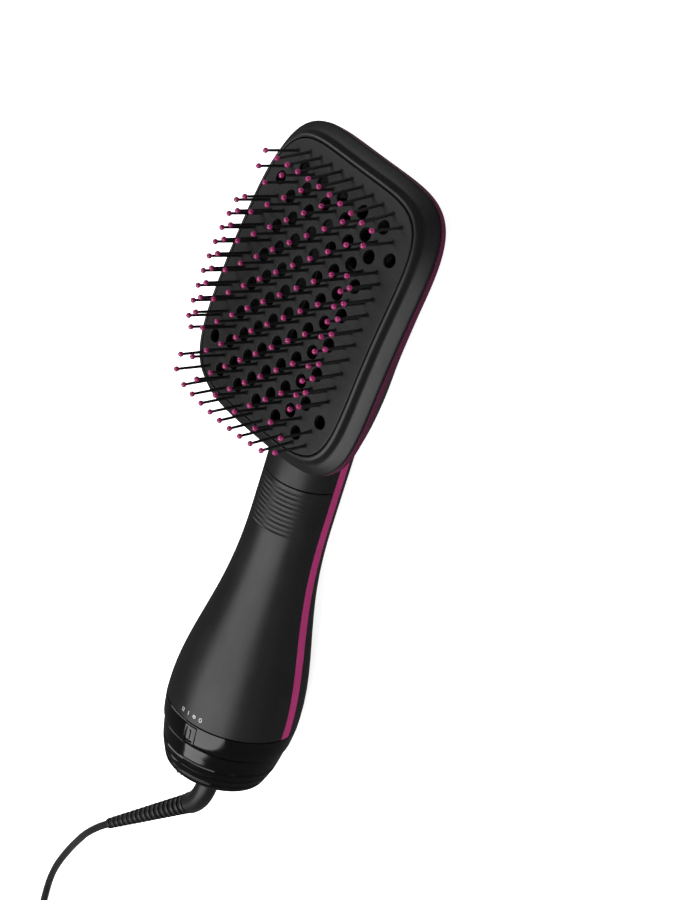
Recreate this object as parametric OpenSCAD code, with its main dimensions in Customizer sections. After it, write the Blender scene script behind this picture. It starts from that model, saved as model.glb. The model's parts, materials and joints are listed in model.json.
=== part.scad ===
/* [Head] */
// Length of the bristle plate, from its handle end to its tip
plate_len = 120.8; // [116:0.4:126]
// Width of the bristle plate
plate_w = 95.4; // [93:0.2:101]
// Thickness of the bristle plate
plate_t = 2; // [1.6:0.2:2.6]
// Radius of the plate's shallow dome
dome_r = 480; // [420:10:700]
// Room for the frame's rounded bead round the plate
rim_w = 5; // [4.6:0.1:6]
// How far the bead falls off outside the plate, down to the valley beside it
rim_drop = 3.7; // [2.8:0.1:4.2]
// Width that the frame's sloped flank adds outside that room
flank_w = 2.8; // [2:0.1:4]
// Depth of the flank's outer edge under the plate's dome
wall_depth = 7.1; // [6.6:0.1:8.4]
// Thickness of the moulded walls of the head
head_wall = 2.4; // [2:0.2:2.8]
// Depth of the coloured trim band behind the wall
trim_band = 3.7; // [3:0.1:4.4]
// Dark groove between the wall and the trim band
trim_groove = 0.6; // [0.5:0.1:1]
// How far the plate leans from the handle's axis, in degrees
head_tilt = 8.4; // [6:0.2:10]
// Height of the plate's middle over the handle's axis
plate_rise = 37.3; // [36:0.1:41]
// Length of the flat face that the back of the head rests on
flat_len = 76; // [68:2:82]
// Width of that flat face
flat_w = 34; // [28:1:38]

/* [Pins and air holes] */
// Spacing of the pin rows along the head
pin_step_x = 7; // [6.9:0.02:7.1]
// Spacing of the pin columns across the head
pin_step_y = 6.92; // [6.8:0.02:7]
// Length of a pin from the plate to the middle of its tip
pin_len = 17.2; // [12:0.2:20]
// Thickness of a pin
pin_d = 1.3; // [1:0.1:1.6]
// Width of the ball on a pin's end
tip_d = 2.5; // [2:0.1:3]
// Diameter of an air hole
hole_d = 6.2; // [5:0.2:6.6]

/* [Handle] */
// Radius of the slim neck
neck_r = 18.5; // [17.5:0.5:20]
// Room round the fan, out to the surface of the handle's wide end
belly_room = 11; // [10.5:0.5:13]
// Length of the neck between the head and the handle's seam
neck_len = 25.6; // [22:0.2:30]
// Length of the handle shells
handle_len = 123; // [119:1:135]
// Wall of the handle shells
shell_wall = 2.2; // [1.8:0.2:2.6]
// Width of the coloured stripe down each side
stripe_w = 5.5; // [4:0.5:7]
// Thickness of the coloured stripe
stripe_t = 1.1; // [0.8:0.1:1.3]
// Place of the stripe round the handle, in degrees from the pin side
stripe_angle = 105; // [98:1:112]
// Number of fine grip grooves under the seam
grip_count = 10; // [4:1:14]
// Spacing of the grip grooves
grip_step = 2.3; // [2:0.1:2.6]
// Depth of a grip groove
grip_depth = 0.45; // [0.3:0.05:0.7]

/* [Selector and end cap] */
// Length of the turning selector ring
ring_len = 11; // [10:0.5:13]
// How much the selector ring narrows toward the end cap
ring_taper = 1.8; // [1:0.2:2.4]
// Turn from one selector mark to the next, in degrees
mark_step = 6.5; // [5:0.5:8]
// Width of the raised pointer frame on the ring
pointer_w = 7.4; // [6:0.2:9]
// Gap between the turning ring and its neighbours
ring_gap = 0.5; // [0.4:0.1:0.8]
// Running clearance of shafts and sleeves
run_fit = 0.05; // [0.03:0.01:0.08]
// Length of the end cap
cap_len = 21; // [20:0.5:24]
// Radius of the end cap's flat end
cap_end_r = 21; // [20:0.5:22]
// Number of air inlet slots in the end cap
slot_count = 18; // [8:1:20]
// Width of an air inlet slot
slot_w = 2.2; // [1.6:0.2:2.6]

/* [Motor and fan] */
// Diameter of the motor
motor_d = 24; // [20:1:25]
// Length of the motor's case
motor_len = 26; // [22:1:28]
// Diameter of the motor's shaft
shaft_d = 2; // [1.5:0.1:3]
// Diameter of the fan
fan_d = 40; // [36:1:41]
// Depth of the fan's blades along the shaft
fan_len = 8; // [6:0.5:9]
// Number of fan blades
blade_count = 9; // [5:1:11]
// Number of fixed vanes round the motor
vane_count = 7; // [3:1:9]

/* [Heater] */
// Free length between the heater and the motor, where the screw post stands
post_room = 26; // [24:1:32]
// Radius of the turns of heating wire
wire_ring_r = 12.1; // [11:0.1:13]
// Thickness of the heating wire
wire_d = 1; // [0.8:0.1:1.2]
// Number of turns of heating wire
wire_turns = 8; // [4:1:12]
// Thickness of the insulating boards
board_t = 0.8; // [0.6:0.1:1.2]

/* [Mains lead] */
// Diameter of the mains lead
cord_d = 3.6; // [3:0.1:3.8]
// Number of ribs on the strain relief
relief_ribs = 17; // [8:1:20]
// Thickness of the strain relief at its elbow
relief_d = 10.2; // [8:0.2:10.4]
// Diameter of a plug pin
plug_pin_d = 4.8; // [4:0.1:5]
// Length of a plug pin
plug_pin_len = 19; // [17:0.5:20]
// Spacing of the two plug pins
plug_pin_gap = 19; // [18:0.5:20]
// Width of the plug's body
plug_w = 36; // [33:1:38]
// Height of the plug's body
plug_h = 26; // [24:1:30]

/* [Hidden] */

black = "#1b1b1d";
gloss = "#0c0c0e";
pink = "#a8286e";
metal = "#b9bbbf";
board = "#c9b98f";

// Smoothness of curves, sides of the head's outline, and how square it is
round_n = 96;
outline_n = 64;
outline_power = 5.1;
low_power = 4.6;
side_power = 1.1;
// Gap between pieces that lie close together, and a cut's overshoot
fit_gap = 0.2;
cut = 1;

// The wide end is as thick as the fan and its duct need
belly_r = fan_d / 2 + belly_room;
ring_low_r = belly_r - ring_taper;

// Stations along the handle's axis, from the middle of the plate
half_len = plate_len / 2;
half_w = plate_w / 2;
frame_w = rim_w + flank_w;
lip_h = 0.6;
heel_x = -(half_len + rim_w);
seam_x = heel_x - neck_len;
collar_x = heel_x - 8;
handle_end_x = seam_x - handle_len;
ring_x = handle_end_x - ring_gap;
ring_end_x = ring_x - ring_len;
cap_x = ring_end_x - ring_gap;
cap_end_x = cap_x - cap_len;
fan_x = handle_end_x + 3;
motor_x = fan_x + fan_len + 2;
motor_top_x = motor_x + motor_len;

// Levels square to the plate, and depths under the plate's dome
ledge_w = -9;
ledge_t = 2;
ledge_grip = 3;
trim_top = wall_depth + trim_groove;
trim_low = trim_top + trim_band;
boss_w = -17.6;
seat_gap = 0.05;

// The handle swells from the neck to the belly
belly_x = handle_end_x + 4;
swell_x = seam_x - 17;
swell_power = 1.3;
swell_steps = 14;
function swell(x) = let (t = max(0, min(1, (swell_x - x) / (swell_x - belly_x))))
    neck_r + (belly_r - neck_r) * (1 - cos(180 * pow(t, swell_power))) / 2;
function stations(x0, x1) = concat([x0],
    [for (i = [0 : swell_steps]) let (x = swell_x + (belly_x - swell_x) * i / swell_steps)
        if (x < x0 - cut && x > x1 + cut) x], [x1]);

// The plate's own frame has its origin in the middle of the plate, pins up
module in_head() translate([0, 0, plate_rise]) rotate([0, head_tilt, 0]) children();
function in_handle(p) = [p[0] * cos(head_tilt) + p[2] * sin(head_tilt), p[1],
    plate_rise + p[2] * cos(head_tilt) - p[0] * sin(head_tilt)];

// The part lies on its back: the belly and the flat of the head share one plane
rest_tilt = 4.68;
rest_drop = max([for (x = stations(seam_x, handle_end_x)) swell(x) + x * tan(rest_tilt)]);
function floor_z(x) = x * tan(rest_tilt) - rest_drop;
function turned(p) = [p[0] * cos(rest_tilt) + p[2] * sin(rest_tilt), p[1],
    p[2] * cos(rest_tilt) - p[0] * sin(rest_tilt)];
// The point at the tip that, with the cap's end, sets the middle of the brush over the origin
tip_reach = 7.139;
tip_depth = 13;
tip_point = turned(in_handle([half_len + tip_reach, 0, dome_w(half_len + rim_w, 0) - tip_depth]));
end_point = turned([cap_end_x, 0, -cap_end_r]);
lay_shift = [-(tip_point[0] + end_point[0]) / 2, 0, rest_drop * cos(rest_tilt)];
module lay() translate(lay_shift) rotate([0, rest_tilt, 0]) children();
function laid(p) = turned(p) + lay_shift;

function squircle(a, b, power) = [for (i = [0 : outline_n - 1])
    let (t = 360 * (i + 0.5) / outline_n, c = cos(t), s = sin(t))
    [a * sign(c) * pow(abs(c), 2 / power), b * sign(s) * pow(abs(s), 2 / power)]];
function head_outline(grow, power = outline_power) = squircle(half_len + grow, half_w + grow, power);
module head_prism(grow, low, high) translate([0, 0, low])
    linear_extrude(high - low) polygon(head_outline(grow));
module dome(rise) translate([0, 0, -dome_r]) sphere(dome_r + rise, $fn = round_n);
function dome_w(u, v) = sqrt(dome_r * dome_r - u * u - v * v) - dome_r;

// A solid through a list of rings, each with as many points, counter-clockwise on the way
function skin_faces(rings, n) = concat(
    [[for (i = [0 : n - 1]) i]],
    [for (k = [0 : rings - 2]) for (i = [0 : n - 1]) let (j = (i + 1) % n)
        each [[k * n + i, (k + 1) * n + i, (k + 1) * n + j],
            [k * n + i, (k + 1) * n + j, k * n + j]]],
    [[for (i = [n - 1 : -1 : 0]) (rings - 1) * n + i]]);
module skin(rings) polyhedron([for (ring = rings) each ring],
    skin_faces(len(rings), len(rings[0])), convexity = 8);
module closed_skin(rings) let (m = len(rings), n = len(rings[0]))
    polyhedron([for (ring = rings) each ring],
        [for (k = [0 : m - 1]) for (i = [0 : n - 1]) let (j = (i + 1) % n, l = (k + 1) % m)
            each [[k * n + i, l * n + i, l * n + j], [k * n + i, l * n + j, k * n + j]]], convexity = 8);

// A tube along a path
function unit(v) = v / norm(v);
function heading(path, i) = unit(path[min(i + 1, len(path) - 1)] - path[max(i - 1, 0)]);
function tube_ring(at, dir, r, sides) =
    let (side = unit(cross(dir, [0, 0, 1])), down = cross(dir, side))
    [for (k = [0 : sides - 1]) let (a = 360 * (k + 0.5) / sides)
        at + r * (side * cos(a) + down * sin(a))];
function tube(path, radii, sides) = [for (i = [0 : len(path) - 1])
    tube_ring(path[i], heading(path, i), radii[i], sides)];
function even(path, r) = [for (p = path) r];

// Shapes turned about the handle's axis, from [radius, station] points
module turned_round(points) rotate([0, 90, 0]) rotate_extrude($fn = round_n) polygon(points);
module disc(r, x0, x1) translate([x0, 0, 0]) rotate([0, 90, 0])
    cylinder(r = r, h = x1 - x0, $fn = round_n);
module pipe(r_in, r_out, x0, x1) difference() {
    disc(r_out, x0, x1);
    disc(r_in, x0 - cut, x1 + cut);
}
module across_x(x0, x1) translate([x0, 0, 0]) rotate([90, 0, 90])
    linear_extrude(x1 - x0) children();

// Rings round the head, at a depth under the dome or at a level
function rim_ring(grow, drop) = [for (p = head_outline(grow, drop > rim_drop + 1 ? low_power : outline_power))
    [p[0], p[1], dome_w(p[0], p[1]) - drop]];
function flat_ring(grow, w) = [for (p = head_outline(grow)) [p[0], p[1], w]];

// Frame round the bristle plate: a bead, a valley, the sloped flank and a ledge for the plate
module head_front_frame() color(black) lay() in_head() closed_skin([
    rim_ring(frame_w, wall_depth), rim_ring(frame_w, wall_depth - lip_h),
    rim_ring(rim_w - 1.8, rim_drop - 0.3), rim_ring(rim_w * 0.54, rim_drop * 0.6),
    rim_ring(rim_w * 0.46, rim_drop * 0.25), rim_ring(rim_w / 4, 0), rim_ring(fit_gap, 0.1),
    flat_ring(fit_gap, ledge_w), flat_ring(-ledge_grip, ledge_w),
    flat_ring(-ledge_grip, ledge_w - ledge_t), flat_ring(rim_w / 6, ledge_w - ledge_t - fit_gap),
    rim_ring(frame_w - head_wall, wall_depth)]);

// Pins stand upright over the handle and fan out a little to the sides
row_margin = 11;
pin_rows = floor((half_len - row_margin) / pin_step_x);
side_rows = pin_rows - 3;
pin_columns = 4;
pin_shift = -1.9;
pin_fan = 0.106;
tip_margin = 4.8;
tip_lean = -10;
heel_margin = 3.3;
heel_lean = -7;
side_margin = 7.3;
inner_margin = 11.7;
row_curve = 0.1;
corner_pins = [[9.2, 11.7], [16.4, 12.2]];
heel_pins = [[7.3, 12.5], [14.4, 12.2]];
corner_holes = [[half_len - 23.4, half_w - 9.4], [20.4 - half_len, half_w - 9.4]];
pin_places = concat(
    [for (k = [-pin_rows : pin_rows]) for (j = [-pin_columns : pin_columns])
        if ((k + j) % 2 == 0) [k * pin_step_x + pin_shift, j * pin_step_y, 0]],
    [for (j = [-pin_columns : pin_columns])
        [half_len - tip_margin - row_curve * j * j, 1.04 * j * pin_step_y, tip_lean]],
    [for (j = [-pin_columns : pin_columns])
        [heel_margin - half_len + row_curve * j * j, j * pin_step_y, heel_lean]],
    [for (s = [-1, 1]) for (k = [-side_rows : side_rows])
        [k * pin_step_x + pin_shift, s * (half_w - side_margin - row_curve * k * k), 0]],
    [for (s = [-1, 1]) for (k = [-side_rows - 0.5 : side_rows + 0.5])
        [k * pin_step_x + pin_shift, s * (half_w - inner_margin - row_curve * k * k / 2), 0]],
    [for (s = [-1, 1]) for (p = corner_pins) [half_len - p[0], s * (half_w - p[1]), 0]],
    [for (s = [-1, 1]) for (p = heel_pins) [p[0] - half_len, s * (half_w - p[1]), heel_lean / 2]]);
hole_places = concat(
    [for (k = [-pin_rows : pin_rows]) for (j = [-pin_columns : pin_columns])
        if ((k + j) % 2 != 0) [k * pin_step_x + pin_shift, j * pin_step_y]],
    [for (s = [-1, 1]) for (p = corner_holes) [p[0], s * p[1]]]);
module at_pin(p) translate([p[0], p[1], dome_w(p[0], p[1])])
    rotate([0, p[2] - head_tilt, 0]) rotate([-pin_fan * p[1], 0, 0]) children();

// Four bosses under the plate take the screws from the back
boss_r = 3;
screw_r = 1.45;
screw_head_r = 2.8;
screw_head_t = 2;
screw_seat = 6;
screw_reach = 8;
column_r = 5;
boss_places = [for (k = [-5, 5]) for (j = [-3, 3]) [k * pin_step_x + pin_shift, j * pin_step_y]];
module at_bosses(w) for (p = boss_places) translate([p[0], p[1], w]) children();

module bristle_plate() color(black) lay() in_head() {
    difference() {
        union() {
            difference() {
                intersection() {
                    head_prism(0, ledge_w, cut);
                    dome(0);
                }
                intersection() {
                    head_prism(-head_wall, ledge_w - cut, cut);
                    dome(-plate_t);
                }
            }
            at_bosses(boss_w)
                cylinder(r = boss_r, h = dome_w(boss_places[0][0], boss_places[0][1])
                    - plate_t / 2 - boss_w, $fn = 24);
        }
        for (p = hole_places) translate([p[0], p[1], ledge_w - cut])
            cylinder(d = hole_d, h = cut - ledge_w + cut, $fn = 24);
        at_bosses(boss_w - cut) cylinder(r = screw_r - fit_gap, h = screw_reach + 2 * cut, $fn = 24);
    }
    for (p = pin_places) at_pin(p) translate([0, 0, -plate_t / 2])
        cylinder(d = pin_d, h = pin_len - tip_d / 2 + plate_t / 2, $fn = 4);
}

module pin_tips() color(pink) lay() in_head() for (p = pin_places)
    at_pin(p) translate([0, 0, pin_len - tip_d / 2]) cylinder(d = tip_d, h = tip_d, $fn = 6);

module head_trim() color(pink) lay() in_head() closed_skin([
    rim_ring(frame_w - 3 * fit_gap, trim_low), rim_ring(frame_w, trim_top),
    rim_ring(frame_w - 1.4, trim_top), rim_ring(frame_w - 1.4, wall_depth + seat_gap),
    rim_ring(frame_w - head_wall, wall_depth + seat_gap), rim_ring(frame_w - 3.8, trim_low)]);

// The back of the head swells from the flat it rests on up to the trim band
flat_x = -8;
back_steps = 6;
function back_ring(inset, a) = let (edge = rim_ring(frame_w - 6 * fit_gap - inset, trim_low + seat_gap),
        foot = squircle(flat_len / 2, flat_w / 2, 3), h = 1 - pow(cos(a), 2 / side_power),
        v = pow(sin(a), 2 / side_power))
    [for (i = [0 : outline_n - 1]) let (top = in_handle(edge[i]), x = foot[i][0] + flat_x)
        [top[0] + (x - top[0]) * h, top[1] + (foot[i][1] - top[1]) * h,
            top[2] + (floor_z(x) + inset - top[2]) * v]];
function back_rings(inset, steps) = [for (k = steps) back_ring(inset, 90 * k / back_steps)];
module back_form(inset, grow, w) skin(concat(back_rings(inset, [back_steps : -1 : 0]),
    [[for (p = head_outline(grow)) in_handle([p[0], p[1], w])]]));
lid_grow = -8;
lid_w = -21.5;
shoulder_x = heel_x + 20;
shoulder_w = 27;
shoulder_top = 20;
module neck(inset) {
    disc(neck_r - inset, seam_x - cut, collar_x);
    hull() {
        disc(neck_r - inset, collar_x - cut, collar_x, $fn = 32);
        translate([0, 0, (shoulder_top + floor_z(shoulder_x)) / 2]) across_x(shoulder_x, shoulder_x + cut)
            polygon(squircle(shoulder_w - inset,
                (shoulder_top - floor_z(shoulder_x)) / 2 - fit_gap - inset, 2));
    }
}
spigot_len = 3.5;
spigot_r = neck_r - shell_wall - fit_gap;
module head_rear_cover() color(black) lay() difference() {
    union() {
        difference() {
            union() {
                back_form(0, lid_grow, lid_w);
                intersection() {
                    neck(0);
                    disc(2 * half_len, seam_x, half_len);
                }
            }
            back_form(head_wall, 0, 0);
            neck(head_wall);
        }
        intersection() {
            in_head() at_bosses(floor_z(heel_x) - plate_rise)
                cylinder(r = column_r, h = boss_w - seat_gap + plate_rise - floor_z(heel_x), $fn = 32);
            union() {
                back_form(0, lid_grow, lid_w);
                in_head() head_prism(lid_grow, lid_w - cut, boss_w);
            }
        }
        pipe(spigot_r - head_wall, spigot_r, seam_x - spigot_len, seam_x + head_wall);
    }
    in_head() at_bosses(boss_w - screw_seat - plate_rise)
        cylinder(r = screw_head_r + fit_gap, h = plate_rise, $fn = 32);
    in_head() at_bosses(boss_w - screw_seat - cut)
        cylinder(r = screw_r + fit_gap, h = screw_seat + 2 * cut, $fn = 24);
    stripes(-cut, seam_x - cut, stripe_x);
}

// Two vanes stand on the floor of the head and spread the air
vane_y = 10;
vane_t = 1.2;
vane_x0 = flat_x - flat_len / 2 + 6;
vane_x1 = flat_x + flat_len / 2 - 6;
module air_baffle() color("#2a2a2c") lay() {
    for (s = [-1, 1]) translate([0, s * vane_y + vane_t / 2, 0]) rotate([90, 0, 0])
        linear_extrude(vane_t) polygon([
            [vane_x0, floor_z(vane_x0) + head_wall],
            [vane_x1, floor_z(vane_x1) + head_wall],
            [vane_x1, in_handle([vane_x1, 0, boss_w])[2]],
            [vane_x0, in_handle([vane_x0, 0, boss_w])[2]]]);
    for (x = [vane_x0 + 10, (vane_x0 + vane_x1) / 2, vane_x1 - 10])
        translate([x, -vane_y, in_handle([x, 0, boss_w])[2] - 8])
            cube([vane_t, 2 * vane_y, 6]);
}

module head_screws() color(metal) lay() in_head() at_bosses(boss_w - screw_seat) {
    translate([0, 0, -screw_head_t]) cylinder(r = screw_head_r, h = screw_head_t, $fn = 32);
    cylinder(r = screw_r - fit_gap, h = screw_seat + screw_reach, $fn = 24);
}

// Handle shells, split under the coloured stripes
stripe_x = heel_x - 9;
module handle_wall(out, inset, x0, x1) let (line = stations(x0, x1)) turned_round(concat(
    [for (x = line) [swell(x) - out, x]],
    [for (i = [len(line) - 1 : -1 : 0]) [swell(line[i]) - inset, line[i]]]));
module under_stripe(shift) let (h = shift / sin(stripe_angle), s = 3 * belly_r) polygon([
    [0, h], [-s * sin(stripe_angle), h + s * cos(stripe_angle)], [-s, -2 * s], [s, -2 * s],
    [s * sin(stripe_angle), h + s * cos(stripe_angle)]]);
module stripe_bands() difference() {
    under_stripe(stripe_w / 2);
    under_stripe(-stripe_w / 2);
}
module stripes(out, x0, x1) intersection() {
    handle_wall(out, stripe_t, x1, x0);
    across_x(x0, x1) stripe_bands();
}
shell_x = seam_x - ring_gap;
post_x = motor_top_x + 14;
post_r = 3.2;
post_drop = 7;
module upright(r, z0, z1) translate([post_x, 0, z0]) cylinder(r = r, h = z1 - z0, $fn = 32);
module grips() for (i = [0 : grip_count - 1]) let (x = seam_x - 3 - grip_step * i)
    rotate([0, 90, 0]) rotate([0, 0, 120]) rotate_extrude(angle = 120, $fn = round_n)
        translate([swell(x), x]) rotate(45) square(grip_depth * sqrt(2), center = true);
module handle_front_shell() color(black) lay() difference() {
    union() {
        difference() {
            handle_wall(0, shell_wall, shell_x, handle_end_x);
            across_x(handle_end_x - cut, seam_x + cut) under_stripe(stripe_w / 2);
        }
        upright(post_r, post_drop - swell(post_x), swell(post_x) - shell_wall / 2);
    }
    grips();
    upright(screw_r - fit_gap, post_drop - swell(post_x) - cut,
        post_drop - swell(post_x) + screw_reach + cut);
}
module handle_rear_shell() color(black) lay() difference() {
    union() {
        intersection() {
            handle_wall(0, shell_wall, shell_x, handle_end_x);
            across_x(handle_end_x - cut, seam_x + cut) under_stripe(-stripe_w / 2);
        }
        intersection() {
            handle_wall(stripe_t, shell_wall, shell_x, handle_end_x);
            across_x(handle_end_x - cut, seam_x + cut) under_stripe(stripe_w / 2);
        }
        upright(post_r + 1, shell_wall / 2 - swell(post_x), post_drop - swell(post_x));
    }
    upright(screw_head_r + fit_gap, -swell(post_x) - 2 * cut, post_drop - swell(post_x) - 3);
    upright(screw_r + fit_gap, -swell(post_x), post_drop - swell(post_x) + cut);
}
module handle_screw() color(metal) lay() {
    upright(screw_head_r, post_drop - swell(post_x) - 3 - screw_head_t, post_drop - swell(post_x) - 3);
    upright(screw_r - fit_gap, post_drop - swell(post_x) - 3, post_drop - swell(post_x) + screw_reach);
}
module side_trim(s) color(pink) lay() intersection() {
    stripes(0, handle_end_x, stripe_x);
    translate([handle_end_x - cut, s > 0 ? 0 : -2 * belly_r, -2 * belly_r])
        cube([-handle_end_x, 2 * belly_r, 4 * belly_r]);
}
module side_trim_left() side_trim(1);
module side_trim_right() side_trim(-1);

// Heater: wire round a cross of two insulating boards, in a tube
heater_x = seam_x - spigot_len - ring_gap;
heater_end_x = motor_top_x + post_room;
heater_len = heater_x - heater_end_x;
mica_r = neck_r - shell_wall - fit_gap;
board_end = 5;
core_r = wire_ring_r - wire_d / 2 - fit_gap / 2;
module mica_tube() color(board) lay() pipe(mica_r - board_t, mica_r, heater_end_x, heater_x);
module heater_board(slot_x0, slot_x1) linear_extrude(board_t, center = true) difference() {
    union() {
        translate([heater_end_x, -core_r]) square([heater_len, 2 * core_r]);
        for (x = [heater_end_x, heater_x - board_end])
            translate([x, -mica_r + board_t + fit_gap])
                square([board_end, 2 * (mica_r - board_t - fit_gap)]);
    }
    translate([slot_x0, -board_t / 2]) square([slot_x1 - slot_x0, board_t]);
}
mid_x = heater_x - heater_len / 2;
module heater_board_a() color(board) lay() rotate([90, 0, 0]) heater_board(mid_x, heater_x + cut);
module heater_board_b() color(board) lay() heater_board(heater_end_x - cut, mid_x);
wire_x0 = heater_end_x + board_end + 2 * wire_d;
wire_x1 = heater_x - board_end - 2 * wire_d;
wire_steps = 16;
function wire_ring(i) = let (a = 360 * i / wire_steps,
        x = wire_x0 + (wire_x1 - wire_x0) * i / wire_steps / wire_turns)
    [for (k = [0 : 5]) [x + wire_d / 2 * sin(60 * k), (wire_ring_r + wire_d / 2 * cos(60 * k)) * cos(a),
        (wire_ring_r + wire_d / 2 * cos(60 * k)) * sin(a)]];
module heating_wire() color(metal) lay() skin([for (i = [wire_steps * wire_turns : -1 : 0]) wire_ring(i)]);
module thermostat() color(metal) lay() translate([heater_x - 16, board_t / 2, 3]) {
    cube([9, 5, 5.5]);
    translate([4.5, 5, 2.75]) rotate([-90, 0, 0]) cylinder(d = 4, h = 1, $fn = 32);
}
module thermal_fuse() color(metal) lay() translate([mid_x - 7, -board_t / 2 - 1.75, -6]) rotate([0, 90, 0]) {
    cylinder(d = 3.5, h = 12, $fn = 32);
    translate([0, 0, -5]) cylinder(d = 1, h = 22, $fn = 16);
}

// Motor in its vaned mount, with the fan below it
bearing_len = 14;
mount_x = handle_end_x + 2;
mount_top_x = motor_top_x + 3;
blade_gap = 0.6;
duct_r = fan_d / 2 + blade_gap;
duct_wall = 1.6;
module motor_case() color(metal) lay() difference() {
    union() {
        disc(motor_d / 2, motor_x, motor_top_x);
        disc(motor_d / 6, motor_top_x - cut, motor_top_x + 2.5);
    }
    disc(shaft_d / 2 + run_fit, motor_x - cut, motor_x + bearing_len);
}
module rectifier_board() color("#2f6b45") lay() {
    pipe(motor_d / 6 + run_fit, motor_d / 2 - 2, motor_top_x, motor_top_x + 1.6);
    for (a = [45 : 90 : 315]) rotate([a, 0, 0]) translate([motor_top_x + 1.6, 0, 7])
        rotate([0, 90, 0]) cylinder(d = 3, h = 4, $fn = 24);
}
module motor_mount() color("#3a3a3e") lay() {
    pipe(duct_r, duct_r + duct_wall, mount_x, mount_top_x);
    pipe(motor_d / 2 + run_fit, motor_d / 2 + 1.4, motor_x, motor_top_x - 3);
    for (i = [0 : vane_count - 1]) rotate([360 * i / vane_count, 0, 0])
        translate([motor_x + 2, -vane_t / 2, motor_d / 2 + 0.7])
            cube([motor_len - 8, vane_t, duct_r + duct_wall / 2 - motor_d / 2 - 0.7]);
}
damper_x = motor_x + 5;
damper_len = 4;
module motor_damper() color("#151515") lay() pipe(duct_r + duct_wall + run_fit,
    swell(damper_x + damper_len) - shell_wall - fit_gap, damper_x, damper_x + damper_len);
module motor_shaft() color(metal) lay() disc(shaft_d / 2, fan_x - 1.5, motor_x + bearing_len - 1);
hub_r = 6;
blade_t = 1.2;
blade_pitch = 38;
module fan() color("#8f2a63") lay() difference() {
    union() {
        disc(hub_r, fan_x, fan_x + fan_len);
        intersection() {
            disc(fan_d / 2, fan_x, fan_x + fan_len);
            for (i = [0 : blade_count - 1]) rotate([360 * i / blade_count, 0, 0])
                translate([fan_x + fan_len / 2, 0, hub_r - cut]) rotate([0, 0, blade_pitch])
                    translate([-fan_len, -blade_t / 2, 0]) cube([2 * fan_len, blade_t, fan_d / 2]);
        }
    }
    disc(shaft_d / 2, fan_x - cut, fan_x + fan_len + cut);
}

// Rotary switch: a fixed ring of contacts over the carrier that the selector turns
sleeve_gap = 0.75;
sleeve_r = duct_r + duct_wall + sleeve_gap;
sleeve_wall = 1.75;
switch_len = 3.5;
carrier_len = 6.5;
contact_w = 1.6;
ring_bore = ring_low_r - shell_wall;
module switch_base() color("#6b3b22") lay() {
    pipe(sleeve_r + fit_gap, belly_r - shell_wall - fit_gap, handle_end_x, handle_end_x + switch_len);
    for (k = [-1.5 : 1.5]) rotate([180 + k * mark_step, 0, 0])
        translate([handle_end_x + switch_len / 2, -contact_w / 2, sleeve_r + 1])
            cube([switch_len / 2 + 4, contact_w, 3]);
}
module contact_carrier() color("#d8d4c8") lay()
    pipe(sleeve_r + run_fit, ring_bore - run_fit, ring_x - carrier_len, ring_x);
pointer_angle = 15.5;
pointer_rise = 0.6;
pointer_edge = 1.3;
function ring_r(x) = ring_low_r + (belly_r - ring_low_r) * sqrt(max(0, (x - ring_end_x) / ring_len));
ring_steps = 4;
module ring_form(r_in, rise) turned_round(concat([[r_in, ring_x]],
    [for (i = [ring_steps : -1 : 0]) let (x = ring_end_x + ring_len * i / ring_steps) [ring_r(x) + rise, x]],
    [[r_in, ring_end_x]]));
module pointer_block(margin, out) rotate([pointer_angle, 0, 0])
    translate([ring_end_x + 1 + margin, margin - pointer_w / 2, ring_low_r - cut])
        cube([ring_len - 2 - 2 * margin, pointer_w - 2 * margin, out]);
module selector_ring() color(gloss) lay() {
    ring_form(ring_bore, 0);
    intersection() {
        ring_form(ring_bore + cut / 2, pointer_rise);
        difference() {
            pointer_block(0, 2 * cut + belly_r - ring_low_r);
            pointer_block(pointer_edge, 3 * cut + belly_r - ring_low_r);
        }
    }
}

// End cap: ridged wall, slotted flat end, and the sleeve that the selector turns on
cap_wall = 2.5;
cap_base_x = cap_end_x + cap_wall;
pocket_x = cap_x - 11;
pocket_r = ring_low_r - 3.4;
exit_r = 5.4;
cap_ridges = [12.4, 7.8, 4];
ridge_depth = 0.9;
cap_line = [[cap_end_r, cap_end_x], [ring_low_r - 5.4, cap_end_x + 2], [ring_low_r - 3.8, cap_end_x + 6],
    [ring_low_r - 2.2, cap_end_x + cap_len / 2], [ring_low_r - 0.9, cap_x - 4], [ring_low_r - 0.2, cap_x]];
function cap_r(x) = lookup(x, [for (p = cap_line) [p[1], p[0]]]);
module end_cap() color(gloss) lay() difference() {
    turned_round(concat([[exit_r, cap_end_x]], cap_line, [[pocket_r, cap_x], [pocket_r, pocket_x],
        [sleeve_r, pocket_x], [sleeve_r, mount_x - fit_gap],
        [sleeve_r - sleeve_wall, mount_x - fit_gap], [sleeve_r - sleeve_wall, cap_base_x],
        [exit_r, cap_base_x]]));
    for (d = cap_ridges) rotate([0, 90, 0]) rotate_extrude($fn = round_n)
        translate([cap_r(cap_end_x + d) + ridge_depth / 2, cap_end_x + d]) circle(ridge_depth, $fn = 24);
    for (i = [0 : slot_count - 1]) rotate([360 * (i + 0.5) / slot_count, 0, 0])
        translate([cap_end_x - cut, -slot_w / 2, exit_r + 4]) cube([cap_wall + 2 * cut, slot_w, 9]);
    at_cap_screws() cylinder(r = 1.2, h = 10, center = true, $fn = 24);
}
screen_t = 1;
screen_edge = 1.4;
module at_cap_screws() for (a = [0 : 120 : 240]) rotate([a, 0, 0])
    translate([cap_end_x, 0, sleeve_r - sleeve_wall - 2]) rotate([0, 90, 0]) children();
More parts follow.
